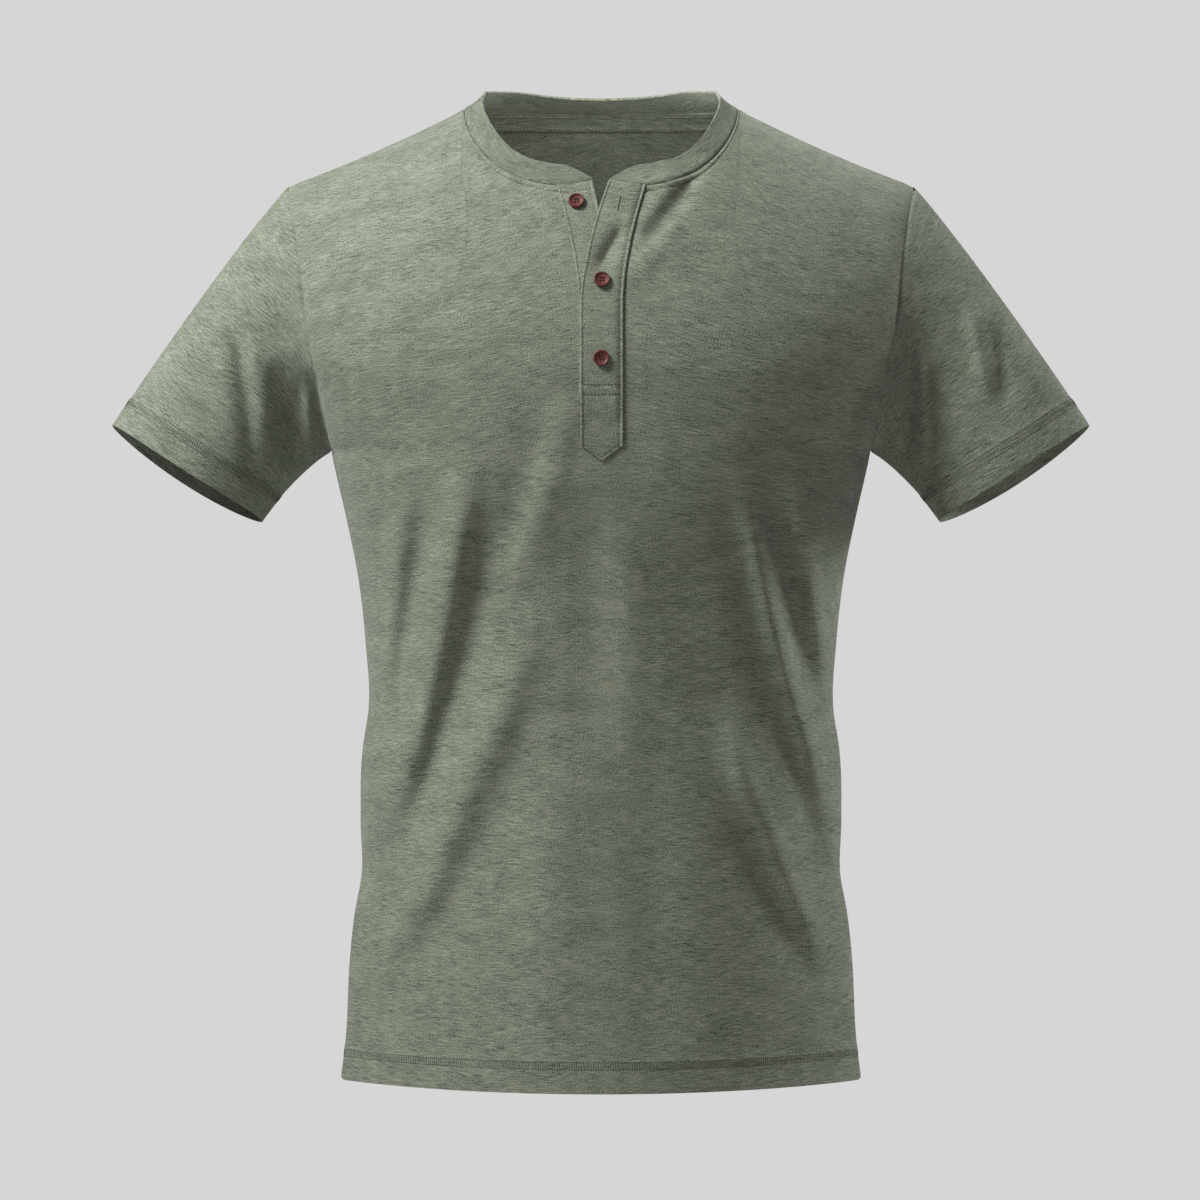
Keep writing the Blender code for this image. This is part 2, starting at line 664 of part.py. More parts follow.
def buttons():
    mesh = button_mesh()
    for row in BUTTONS:
        place, out = place_on_strip(row.strip, row.x, row.z, STRIP / 2 + GAP)
        button = bpy.data.objects.new(row.name, mesh)
        button.location = place
        button.rotation_mode = "QUATERNION"
        button.rotation_quaternion = out.to_track_quat("Z", "Y")
        SHIRT.objects.link(button)


# ---- The shirt ---------------------------------------------------------------------------------------
for leftover in list(bpy.data.objects):
    bpy.data.objects.remove(leftover)
SHIRT = bpy.data.collections.new("henley_shirt")
CUTTERS = bpy.data.collections.new("cutters")
for group in (SHIRT, CUTTERS):
    bpy.context.scene.collection.children.link(group)

HALVES = {(face, sign): half_panel(face, sign) for face in FACING for sign in (-1, 1)}
body_panel("front", "front")
body_panel("back", "back")
sleeve("sleeve_left", 1)
sleeve("sleeve_right", -1)
band()
tape()
strip("placket_under", "under")
cut_buttonhole(strip("placket_over", "over"))
buttons()
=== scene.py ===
"""The looks of the henley shirt: heathered jersey on the CAD's form, with its folds, stitching and buttons.

Metres, +Z up, the front facing -Y. The form is part.py's, in the same sizes, at a finer spacing: a depth
in front of and behind the side seams, written as a function of the place (x, z) in the front view.
"""

import math
from collections import namedtuple

import bpy
import numpy as np
from mathutils import Matrix, Vector


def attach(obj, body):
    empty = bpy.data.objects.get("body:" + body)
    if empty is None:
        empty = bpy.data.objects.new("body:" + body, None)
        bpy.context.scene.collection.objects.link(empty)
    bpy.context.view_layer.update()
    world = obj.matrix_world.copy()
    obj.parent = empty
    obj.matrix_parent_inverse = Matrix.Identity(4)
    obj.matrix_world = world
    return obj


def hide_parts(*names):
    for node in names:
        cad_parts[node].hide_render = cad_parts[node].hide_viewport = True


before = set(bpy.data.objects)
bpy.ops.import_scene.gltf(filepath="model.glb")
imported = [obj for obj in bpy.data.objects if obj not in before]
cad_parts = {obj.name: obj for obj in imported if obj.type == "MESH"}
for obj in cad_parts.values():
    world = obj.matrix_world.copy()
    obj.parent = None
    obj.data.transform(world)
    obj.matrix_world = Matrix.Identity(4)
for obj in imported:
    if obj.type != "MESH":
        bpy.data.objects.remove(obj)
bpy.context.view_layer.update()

# ---- Sizes, the CAD's but for the ends of the band and the tape ----
HEM_Z = -0.700
HEM_CORNER = 0.004  # radius of its corners at the side seams
ARMPIT_Z = -0.248
CHEST_Z = -0.200  # above this the form rounds back to the shoulders
NECK_HALF = 0.0975  # the neck seam at the shoulder
NECK_Z = -0.0020
SHOULDER_HALF = 0.2246
SHOULDER_Z = -0.0577
SHOULDER_STEEPNESS = 0.515  # of the shoulder line where it leaves the neck
NECK_CAP = 0.0251  # rise of the form over the neck opening
NECK_DROP = {"front": 0.0625, "back": -0.0025}
NECK_CURVE = {"front": (3.0, 0.60), "back": (2.0, 0.50)}
NECK_CORNER = 0.031  # half the width over which the neck seam climbs to the opening
NECK_CORNER_RISE = 0.0045
TOP_SQUARENESS = {"front": 1.65, "back": 2.5}
ARMHOLE_SWELL = 0.035  # how far the form runs on past the armhole seam
ARMHOLE_ROUNDING = 0.08
BAND_SOFTEN = 0.020  # length over which its lean is evened out
BAND_REACH = 0.087  # from the sides of the neck to its front
BAND_END_X = {"left": 0.0060, "right": -0.0062}
BAND_END_TAPER = 0.025  # length over which each front end narrows
BAND_END_SHARE = {"left": 0.09, "right": 0.12}
PLACKET_OPEN_Z = -0.1476  # the two placket strips part above this
PLACKET_SLIT_Z = -0.222  # bottom of the cut in the front panel
SLIT_ROUNDING = 0.02
TAB_Z = -0.2470  # the over placket's square shoulders
TAB_POINT = 0.0110  # and its point below them
UNDER_END_Z = -0.2140
TAPE_HALF = 0.0965
TAPE_DROP = 0.0105
BUTTON_RADIUS = 0.0057
BUTTON_HEIGHT = 0.0026
BUTTONHOLE_LENGTH = 0.0135
BUTTONHOLE_CENTRE = (0.0130, -0.0785)
BUTTONHOLE_LEAN = 0.20  # how far it runs sideways, as a share of its height
BUTTONHOLE_CUT = 0.0011  # its width, and how far each satin row lies from its middle
BUTTON_HOLE = 0.00074  # radius of each of its four holes
BUTTON_HOLE_OUT = 0.00145  # and their distance from the button's middle

# ---- Finish ----
CLOTH = 0.0011  # wall of a panel
STRIP = 0.0012  # wall of a placket strip
BAND_CLOTH = 0.0019
TAPE_CLOTH = 0.0010
PROUD = 0.00005  # how far a stitch's line lies above the cloth
NECK_COLUMNS = 34  # of half a panel, under the neck seam
SHOULDER_COLUMNS = 24  # and under the shoulder seam
NECK_CROWDING = 0.9  # powers that set how close the columns lie near the middle and near the neck
SHOULDER_CROWDING = 1.35
LOW_ROWS = 140  # up to the armpit
HIGH_ROWS = 78  # and above it
SLEEVE_ROWS = 66
BAND_COLUMNS = 260
LINE_POINTS = 700  # of a panel's line before its rows are spaced
BLEND_Z = -0.30  # a panel's columns lean over to the top's spacing from here up
SHOULDER_AHEAD = 0.006  # how far the shoulder seam lies in front of the top of the shoulder
LEVEL_TO = -0.130  # up to here a course lies at one height all round, before its fall
LEVEL_X = 0.12  # where that height is measured up the cloth
COURSE_FALL = 0.24  # slope of the courses towards the arms, over the upper chest
COURSE_FALL_Z = -0.38  # where the fall starts
COURSE_FALL_OVER = 0.26  # and how far above that it is full
NECK_STITCH = 0.0060  # the topstitching round the neck, from its seam
EDGE_STITCH = 0.0016  # on the placket, from its side edges
FOOT_STITCH = 0.00184  # and from its foot
BOX_STITCHES = (-0.2052, -0.2118)

# Extra rows of points, by their distance from a seam or an edge.
SEAM_LINES = [0.0, 0.0006, 0.0013, 0.0022, 0.0034, 0.0048]
NECK_LINES = SEAM_LINES[:-1] + [0.0052, NECK_STITCH, 0.0068, 0.0080, 0.0100]
EDGE_LINES = [0.0, 0.0007, 0.0016, 0.0030]
HEM_LINES = EDGE_LINES + [0.0170, 0.0220, 0.0235, 0.0262]
CUFF_LINES = EDGE_LINES + [0.0165, 0.0225, 0.0240, 0.0268]
HEM_STITCH_ROWS = (4, 5)  # the rows of those two that are stitched
HEM_DEPTH = 0.0240
CUFF_DEPTH = 0.0245

# What sewing does to the cloth: a height out of it, at a distance from an edge, dying away over spread.
Ridge = namedtuple("Ridge", "height at spread")
SIDE_GROOVE = Ridge(-0.0014, 0.0, 0.0018)
SHOULDER_GROOVE = Ridge(-0.0014, 0.0, 0.0012)
NECK_GROOVE = {"front": Ridge(-0.0022, 0.0, 0.0012), "back": Ridge(-0.0008, 0.0, 0.0012)}
NECK_WELT = 0.0005  # rise between the neck seam and its topstitching
NECK_DIP = Ridge(-0.0005, NECK_STITCH, 0.0012)
ARMHOLE_ROLL = Ridge(0.0006, 0.0042, 0.0024)
HEM_THICKNESS = 0.00045  # rise of a turned-up hem
CORNER_EASE = 0.8  # share of a groove that is left out where two seams meet
STRIP_ROLL = Ridge(0.0006, 0.0006, 0.0006)
STRIP_EDGE_DIP = Ridge(-0.0004, 0.0020, 0.0008)
STRIP_FOOT_DIP = Ridge(-0.00028, FOOT_STITCH, 0.0007)
STRIP_NECK_DIP = Ridge(-0.00030, NECK_STITCH, 0.0010)
STRIP_NECK_GROOVE = Ridge(-0.0004, 0.0, 0.0010)
BOX_DIPS = [Ridge(-0.00035, z, 0.0009) for z in BOX_STITCHES]
TAPE_EDGE = Ridge(0.0010, 0.86, 0.07)  # in shares of the tape's width

SideRow = namedtuple("SideRow", "z half_width")
SIDE = [
    (HEM_Z, 0.1870),
    (-0.660, 0.1836),
    (-0.615, 0.1813),
    (-0.580, 0.1774),
    (-0.552, 0.1723),
    (-0.513, 0.1730),
    (-0.465, 0.1716),
    (-0.430, 0.1667),
    (-0.385, 0.1690),
    (-0.340, 0.1740),
    (-0.295, 0.1828),
    (ARMPIT_Z, 0.1935),
    (-0.218, 0.1988),
    (-0.187, 0.2046),
    (-0.155, 0.2094),
    (-0.119, 0.2138),
    (-0.085, 0.2192),
    (SHOULDER_Z, SHOULDER_HALF),
]
SIDE = [SideRow(*row) for row in SIDE]

# The neck band round the neck, where z is -1 at its front, 0 at its sides and 1 at its back. stand is in
# degrees out of the cloth it is sewn to, and hollow is how far the band dips along its middle.
BandRow = namedtuple("BandRow", "z stand width hollow")
BAND_LINES = [
    BandRow(-1.00, -10, 0.0190, 0.0004),
    BandRow(-0.87, -2, 0.0168, 0.0005),
    BandRow(-0.60, 12, 0.0165, 0.0006),
    BandRow(-0.30, 20, 0.0172, 0.0010),
    BandRow(0.00, 11, 0.0205, 0.0014),
    BandRow(0.40, 14, 0.0208, 0.0010),
    BandRow(0.62, 8, 0.0208, 0.0007),
    BandRow(0.78, -15, 0.0208, 0.0004),
]

FormRow = namedtuple("FormRow", "z front back flatness edge")
FORM = [
    FormRow(HEM_Z, 0.1110, 0.1100, 2.00, 0.90),
    FormRow(-0.600, 0.1060, 0.1040, 2.00, 0.78),
    FormRow(-0.500, 0.1025, 0.0960, 2.05, 0.66),
    FormRow(-0.420, 0.1025, 0.0940, 2.10, 0.58),
    FormRow(-0.340, 0.1085, 0.1050, 2.20, 0.50),
    FormRow(-0.270, 0.1195, 0.1160, 2.30, 0.44),
    FormRow(CHEST_Z, 0.1240, 0.1200, 2.35, 0.425),
    FormRow(0.040, 0.1240, 0.1200, 2.35, 0.425),
]

# A fold runs from its start to its end in the front view. bow moves its middle sideways, height is
# outwards where positive, and it falls away over near_width towards -X and far_width towards +X.
Fold = namedtuple("Fold", "x z end_x end_z bow height near_width far_width")
FOLDS = {
    "front": [
        # the wearer's right side, from the armhole down to the side seam
        (-0.091, -0.235, -0.160, -0.540, 0.0105, 0.0105, 0.017, 0.012),
        (-0.076, -0.250, -0.150, -0.560, 0.0100, -0.0050, 0.009, 0.020),
        (-0.139, -0.265, -0.160, -0.480, 0.002, 0.0052, 0.009, 0.008),
        (-0.122, -0.265, -0.152, -0.440, 0.004, -0.0035, 0.008, 0.008),
        (-0.040, -0.350, -0.158, -0.650, 0.004, 0.0090, 0.022, 0.014),
        (-0.068, -0.440, -0.140, -0.640, 0.002, -0.0040, 0.010, 0.020),
        (-0.120, -0.560, -0.158, -0.660, 0.002, -0.0030, 0.010, 0.010),
        # the wearer's left side
        (0.098, -0.262, 0.170, -0.525, -0.0065, 0.0100, 0.009, 0.011),
        (0.109, -0.240, 0.160, -0.460, -0.003, -0.0085, 0.011, 0.013),
        (0.087, -0.270, 0.146, -0.490, -0.004, -0.0045, 0.018, 0.007),
        (0.134, -0.250, 0.166, -0.430, -0.003, 0.0070, 0.008, 0.010),
        (0.082, -0.420, 0.166, -0.620, -0.007, 0.0085, 0.009, 0.012),
        (0.098, -0.480, 0.156, -0.640, -0.005, -0.0050, 0.016, 0.008),
        (0.128, -0.430, 0.168, -0.570, -0.003, -0.0050, 0.010, 0.010),
        (0.050, -0.300, 0.096, -0.480, -0.004, -0.0030, 0.022, 0.022),
        # the middle
        (-0.010, -0.260, -0.006, -0.470, 0.000, -0.0026, 0.014, 0.014),
        (0.018, -0.270, 0.020, -0.500, 0.000, 0.0018, 0.012, 0.014),
        (-0.018, -0.200, -0.060, -0.350, 0.000, 0.0034, 0.012, 0.012),
        (-0.036, -0.225, -0.072, -0.340, 0.000, -0.0034, 0.016, 0.012),
        (-0.028, -0.430, -0.042, -0.700, 0.000, 0.0034, 0.022, 0.020),
        (0.034, -0.430, 0.044, -0.700, 0.000, -0.0034, 0.022, 0.018),
        # drags from the neck
        (0.019, -0.088, -0.006, -0.132, 0.000, -0.0046, 0.006, 0.008),
        (0.078, -0.036, 0.022, -0.122, 0.002, -0.0044, 0.007, 0.007),
        (0.066, -0.040, 0.022, -0.100, 0.000, 0.0022, 0.005, 0.005),
        (0.062, -0.070, 0.016, -0.140, 0.000, 0.0026, 0.007, 0.008),
        (-0.066, -0.052, -0.024, -0.114, 0.000, -0.0024, 0.006, 0.006),
        (-0.048, -0.066, -0.020, -0.128, 0.000, 0.0014, 0.006, 0.006),
        # the wearer's right sleeve
        (-0.262, -0.148, -0.246, -0.275, 0.002, -0.0055, 0.007, 0.008),
        (-0.231, -0.178, -0.213, -0.285, 0.001, -0.0095, 0.010, 0.014),
        (-0.250, -0.150, -0.240, -0.262, 0.001, 0.0018, 0.008, 0.008),
        (-0.211, -0.196, -0.206, -0.260, 0.000, 0.0036, 0.004, 0.005),
        (-0.201, -0.185, -0.197, -0.262, 0.000, -0.0050, 0.006, 0.006),
        (-0.285, -0.170, -0.276, -0.240, 0.000, -0.0020, 0.012, 0.010),
        # the wearer's left sleeve
        (0.216, -0.165, 0.220, -0.268, 0.000, -0.0050, 0.010, 0.009),
        (0.240, -0.180, 0.243, -0.262, 0.000, -0.0045, 0.008, 0.010),
        (0.262, -0.128, 0.276, -0.222, 0.001, 0.0040, 0.007, 0.008),
        (0.292, -0.142, 0.316, -0.218, 0.001, 0.0038, 0.007, 0.009),
        (0.276, -0.150, 0.290, -0.225, 0.000, -0.0030, 0.008, 0.008),
        (0.228, -0.175, 0.230, -0.262, 0.000, 0.0030, 0.006, 0.006),
    ],
    "back": [
        (-0.105, -0.240, -0.164, -0.500, 0.006, 0.0070, 0.016, 0.011),
        (-0.128, -0.270, -0.160, -0.440, 0.003, -0.0045, 0.010, 0.010),
        (-0.060, -0.330, -0.140, -0.610, 0.008, 0.0055, 0.018, 0.016),
        (-0.082, -0.300, -0.120, -0.480, 0.004, -0.0035, 0.014, 0.014),
        (0.110, -0.235, 0.164, -0.480, -0.006, 0.0070, 0.012, 0.015),
        (0.130, -0.265, 0.158, -0.420, -0.003, -0.0050, 0.010, 0.010),
        (0.066, -0.350, 0.150, -0.630, -0.006, 0.0055, 0.016, 0.018),
        (0.086, -0.320, 0.124, -0.470, -0.004, -0.0030, 0.014, 0.012),
        (0.004, -0.300, -0.010, -0.560, 0.004, -0.0030, 0.026, 0.026),
        (-0.030, -0.340, -0.060, -0.560, 0.004, 0.0022, 0.016, 0.018),
        (-0.236, -0.150, -0.246, -0.272, 0.000, 0.0050, 0.010, 0.009),
        (-0.220, -0.170, -0.226, -0.275, 0.000, -0.0050, 0.008, 0.009),
        (-0.264, -0.160, -0.270, -0.260, 0.000, -0.0035, 0.009, 0.010),
        (0.234, -0.155, 0.250, -0.270, 0.000, 0.0050, 0.009, 0.010),
        (0.218, -0.170, 0.226, -0.272, 0.000, -0.0050, 0.009, 0.008),
        (0.262, -0.160, 0.274, -0.258, 0.000, -0.0035, 0.010, 0.009),
    ],
}
FOLDS = {face: [Fold(*row) for row in rows] for face, rows in FOLDS.items()}
FOLD_END = 0.32  # share of its length over which a fold rises and dies away
FOLD_FADE = 0.045  # folds die away this near the side and shoulder seams

Edge = namedtuple("Edge", "x opening")
STRIP_EDGES = {
    "over": (Edge(-0.0142, 0.0203), Edge(0.0152, 0.0160)),
    "under": (Edge(-0.0152, -0.0155), Edge(0.0068, -0.0130)),
}
SLIT_EDGES = {-1: Edge(0.0100, 0.0130), 1: Edge(0.0100, 0.0120)}  # half the cut, by side

Cuff = namedtuple("Cuff", "centre top_reach depth axis tilt sag")
CUFF = Cuff(
    centre=np.array([0.2974, -0.004, -0.2642]),
    top_reach=np.array([0.0532, 0.0, 0.0338]),
    depth=0.0510,
    axis=np.array([0.536, 0.0, -0.844]),
    tilt=0.0055,
    sag=0.0035,
)
# How strongly each line of the sleeve leaves the armhole and meets the cuff. z is 1 under the arm.
SleeveRow = namedtuple("SleeveRow", "z start end crease")
SLEEVE_LINES = [
    SleeveRow(0.00, 0.48, 0.70, 0.78),
    SleeveRow(0.35, 0.65, 0.90, 0.35),
    SleeveRow(0.75, 0.70, 1.00, 0.15),
    SleeveRow(1.00, 0.45, 0.90, 0.65),
]

ButtonRow = namedtuple("ButtonRow", "name x z strip turn")
BUTTONS = [
    ButtonRow("button_top", -0.0172, -0.0765, "under", 8),
    ButtonRow("button_middle", 0.0004, -0.1331, "over", 2),
    ButtonRow("button_bottom", 0.0002, -0.1870, "over", 14),
]
FACING = {"front": -1, "back": 1}

JERSEY_COLOURS = ((0.052, 0.064, 0.045), (0.290, 0.312, 0.245))
BUTTON_COLOURS = ((0.075, 0.018, 0.015, 1.0), (0.135, 0.036, 0.030, 1.0))

# ---- Light and camera ----
CAMERA_AT = (-0.0007, -3.6, -0.355)
LENS = 150
SENSOR = 36
BACKGROUND = 0.672
AMBIENT = 0.13
AreaRow = namedtuple("AreaRow", "name at aim size energy")
LIGHTS = [
    AreaRow("key", (-1.20, -0.78, 1.20), (0.0, 0.0, -0.25), 0.6, 72),
    AreaRow("fill", (0.9, -3.0, 0.4), (0.0, 0.0, -0.35), 2.0, 7.4),
    AreaRow("rim", (1.9, 0.7, 0.3), (0.2, 0.0, -0.3), 0.8, 39),
    AreaRow("bounce", (0.02, -0.045, -0.004), (0.0, 0.070, -0.035), 0.10, 0.12),
]
FLOOR_Z = -1.15
FLOOR_RADIUS = 2.2


# ---- Small tools ----
def smooth(share):
    """0 below 0, 1 above 1, and an even rise between."""
    share = np.clip(share, 0, 1)
    return share * share * (3 - 2 * share)


def read(table, column, z):
    """A column of a table at z, on a smooth curve through its rows."""
    knots = np.array([row.z for row in table])
    values = np.array([getattr(row, column) for row in table])
    slopes = np.gradient(values, knots)
    z = np.clip(z, knots[0], knots[-1])
    i = np.clip(np.searchsorted(knots, z) - 1, 0, len(knots) - 2)
    step = knots[i + 1] - knots[i]
    t = (z - knots[i]) / step
    low = values[i] * (1 + 2 * t) + slopes[i] * step * t
    high = values[i + 1] * (3 - 2 * t) - slopes[i + 1] * step * (1 - t)
    return low * (1 - t) ** 2 + high * t**2


def raised(ridge, distance):
    return ridge.height * np.exp(-(((distance - ridge.at) / ridge.spread) ** 2))


def unit(vectors):
    return vectors / np.maximum(np.linalg.norm(vectors, axis=-1, keepdims=True), 1e-12)


def run_of(points, axis=0):
    """Distance along a polyline, or along the rows or columns of a grid, to each of its points."""
    run = np.cumsum(np.linalg.norm(np.diff(points, axis=axis), axis=-1), axis=axis)
    return np.insert(run, 0, 0.0, axis=axis)


def points_at(line, at):
    """Points of a polyline at distances along it."""
    along = run_of(line)
    return np.stack([np.interp(at, along, line[:, k]) for k in range(line.shape[1])], axis=1)


def spaced(line, count, first=(0.0,), last=(0.0,)):
    """Points along a polyline: count of them evenly spaced, with set distances from its two ends."""
    length = run_of(line)[-1]
    middle = np.linspace(first[-1], length - last[-1], count)
    return points_at(line, np.concatenate([first[:-1], middle, length - np.array(last[-2::-1])]))


def grid_normals(grid, closed=False):
    """Unit normals of a grid of points."""
    if closed:
        along = np.roll(grid, -1, axis=1) - np.roll(grid, 1, axis=1)
    else:
        along = np.gradient(grid, axis=1)
    return unit(np.cross(along, np.gradient(grid, axis=0)))


# ---- The form ----
def shoulder_height(x):
    """The top of the form: the shoulder line, and a cap across the neck."""
    out = np.abs(x) - NECK_HALF
    span = SHOULDER_HALF - NECK_HALF
    sag = (SHOULDER_Z - NECK_Z + SHOULDER_STEEPNESS * span) / span**2
    line = NECK_Z - SHOULDER_STEEPNESS * out + sag * out**2
    cap = NECK_Z + NECK_CAP * (1 - (x / NECK_HALF) ** 2)
    past = smooth(0.5 + out / 0.04)
    return cap + past * (line - cap)


def side_width(z):
    """Half the width between the side seams, and above the armpits between the armhole seams."""
    return read(SIDE, "half_width", z)


def form_width(z):
    """Half the width of the whole form, which runs on past the armholes into the sleeves."""
    above = np.maximum(z - ARMPIT_Z, 0)
    return side_width(z) + ARMHOLE_SWELL * (1 - np.exp(-above / ARMHOLE_ROUNDING))


def form_depth(face, x, z):
    across = np.clip(np.abs(x) / form_width(z), 0, 1)
    side = (1 - across ** read(FORM, "flatness", z)) ** read(FORM, "edge", z)
    up = np.clip((z - CHEST_Z) / (shoulder_height(x) - CHEST_Z), 0, 1)
    top = (1 - up ** TOP_SQUARENESS[face]) ** (1 / TOP_SQUARENESS[face])
    return read(FORM, face, z) * side * top


def fold_height(face, x, z):
    """Sum of a face's folds over (x, z)."""
    total = np.zeros(np.broadcast(x, z).shape)
    for fold in FOLDS[face]:
        run = np.array([fold.end_x - fold.x, fold.end_z - fold.z])
        length = np.linalg.norm(run)
        run = run / length
        along = ((x - fold.x) * run[0] + (z - fold.z) * run[1]) / length
        across = (z - fold.z) * run[0] - (x - fold.x) * run[1]
        across = across - 4 * fold.bow * along * (1 - along)
        width = np.where(across > 0, fold.far_width, fold.near_width)
        ends = smooth(along / FOLD_END) * smooth((1 - along) / FOLD_END)
        total = total + fold.height * ends * np.exp(-((across / width) ** 2))
    return total


def folded(face, x, away, z):
    """Depth of the cloth where the plain form's depth is away."""
    return away + smooth(away / FOLD_FADE) * fold_height(face, x, z)


def cloth_points(face, x, z, lift=0.0):
    """Points of the cloth over (x, z), moved out of it by lift."""

    def y_at(px, pz):
        return FACING[face] * folded(face, px, form_depth(face, px, pz), pz)

    y = y_at(x, z)
    points = np.stack([x, y, z], axis=-1)
    if lift:
        step = 1e-4
        slope_x = (y_at(x + step, z) - y_at(x - step, z)) / (2 * step)
        slope_z = (y_at(x, z + step) - y_at(x, z - step)) / (2 * step)
        out = FACING[face] * np.stack([-slope_x, np.ones_like(y), -slope_z], axis=-1)
        points = points + lift * unit(out)
    return points


def placket_spread(z):
    """Share of their full opening by which the placket's two sides stand apart at z."""
    top = NECK_Z - NECK_DROP["front"]
    return np.clip((z - PLACKET_OPEN_Z) / (top - PLACKET_OPEN_Z), 0, 1.1) ** 1.5


def edge_x(edge, z):
    return edge.x + edge.opening * placket_spread(z)


def neck_height(face, x):
    """Height of the neck seam."""
    share = np.clip(np.abs(x) / NECK_HALF, 0, 1)
    power, root = NECK_CURVE[face]
    height = NECK_Z - NECK_DROP[face] * (1 - share**power) ** root
    if face == "front":
        height = height + NECK_CORNER_RISE * smooth(1 - np.abs(x) / NECK_CORNER)
    return height


# ---- Meshes ----
def tag(piece, node):
    """Fixes a piece to the body, in place of a CAD node where one is named."""
    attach(piece, "root")
    if node:
        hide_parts(node)
    return piece


def mesh_piece(name, points, faces, material, uvs=None):
    """A piece from arrays: points, faces of equal size, and a place in the cloth for each corner."""
    mesh = bpy.data.meshes.new(name)
    size = faces.shape[1]
    mesh.vertices.add(len(points))
    mesh.vertices.foreach_set("co", np.ascontiguousarray(points, np.float32).ravel())
    mesh.loops.add(faces.size)
    mesh.loops.foreach_set("vertex_index", np.ascontiguousarray(faces, np.int32).ravel())
    mesh.polygons.add(len(faces))
    mesh.polygons.foreach_set("loop_start", np.arange(0, faces.size, size, dtype=np.int32))
    mesh.update(calc_edges=True)
    if uvs is not None:
        layer = mesh.uv_layers.new(name="cloth")
        layer.data.foreach_set("uv", np.ascontiguousarray(uvs, np.float32).ravel())
    mesh.shade_smooth()
    mesh.materials.append(material)
    piece = bpy.data.objects.new(name, mesh)
    bpy.context.scene.collection.objects.link(piece)
    return piece


def grid_faces(rows, columns, closed=False):
    """Corners of a grid's faces as (row, column) index arrays; closed joins its last column to its first."""
    i, j = np.meshgrid(np.arange(rows - 1), np.arange(columns if closed else columns - 1), indexing="ij")
    i, j = i.ravel(), j.ravel()
    return np.stack([i, i, i + 1, i + 1], axis=1), np.stack([j, j + 1, j + 1, j], axis=1)


def cloth_piece(name, parts, material, thickness, closed=False):
    """A cloth wall from (grid, places) parts. places are in metres along and up the cloth."""
    points, faces, uvs, first = [], [], [], 0
    for grid, places in parts:
        rows, columns = grid.shape[:2]
        i, j = grid_faces(rows, columns, closed)
        faces.append(first + i * columns + j % columns)
        uvs.append(places[i, j].reshape(-1, 2))
        points.append(grid.reshape(-1, 3))
        first += rows * columns
    piece = mesh_piece(name, np.concatenate(points), np.concatenate(faces), material, np.concatenate(uvs))
    if len(parts) > 1:
        weld = piece.modifiers.new("weld", "WELD")
        weld.merge_threshold = 1e-5
    wall = piece.modifiers.new("wall", "SOLIDIFY")
    wall.thickness = thickness
    wall.offset = 0
    edges = piece.modifiers.new("edges", "BEVEL")
    edges.width = 0.42 * thickness
    edges.segments = 2
    edges.limit_method = "ANGLE"
    edges.angle_limit = math.radians(60)
    return piece


def row_places(grid, height, start):
    """Places in the cloth: along each row from where it starts, and a given height."""
    return np.stack([start + run_of(grid, 1), height], axis=-1)


# ---- Materials ----
def nodes_of(name):
    """A new material, its node tree and its shader."""
    material = bpy.data.materials.new(name)
    material.use_nodes = True
    tree = material.node_tree
    return material, tree, tree.nodes["Principled BSDF"]


def fill(tree, node, inputs):
    """Links or sets a node's inputs."""
    for key, value in inputs.items():
        if isinstance(value, bpy.types.NodeSocket):
            tree.links.new(value, node.inputs[key])
        else:
            node.inputs[key].default_value = value


def new_node(tree, kind, inputs, **settings):
    made = tree.nodes.new(kind)
    for key, value in settings.items():
        setattr(made, key, value)
    fill(tree, made, inputs)
    return made


def noise(tree, vector, stretch, detail, roughness):
    """Noise over the cloth, with stretch cells to the metre along and up it."""
    inputs = {0: vector, 1: (*stretch, 1.0)}
    scaled = new_node(tree, "ShaderNodeVectorMath", inputs, operation="MULTIPLY").outputs[0]
    inputs = {"Vector": scaled, "Scale": 1.0, "Detail": detail, "Roughness": roughness}
    return new_node(tree, "ShaderNodeTexNoise", inputs).outputs["Fac"]


def ramp(tree, value, low, high):
    """The value spread over 0 to 1 between low and high."""
    inputs = {"Value": value, "From Min": low, "From Max": high}
    return new_node(tree, "ShaderNodeMapRange", inputs).outputs["Result"]


def weighed(tree, parts, total):
    """total and the sum of each part's value times its weight."""
    for value, weight in parts:
        inputs = {0: value, 1: weight, 2: total}
        total = new_node(tree, "ShaderNodeMath", inputs, operation="MULTIPLY_ADD").outputs[0]
    return total


def waver(tree, vector):
    """Moves each place in the cloth a little up or down, so that its courses waver."""
    inputs = {0: noise(tree, vector, (13, 22), 2, 0.5), 1: (0.0, 0.014, 0.0), 2: vector}
    return new_node(tree, "ShaderNodeVectorMath", inputs, operation="MULTIPLY_ADD").outputs[0]


def mix(tree, factor, a, b):
    """Colour a at a factor of 0 and b at 1."""
    return new_node(tree, "ShaderNodeMix", {"Factor": factor, 6: a, 7: b}, data_type="RGBA").outputs[2]


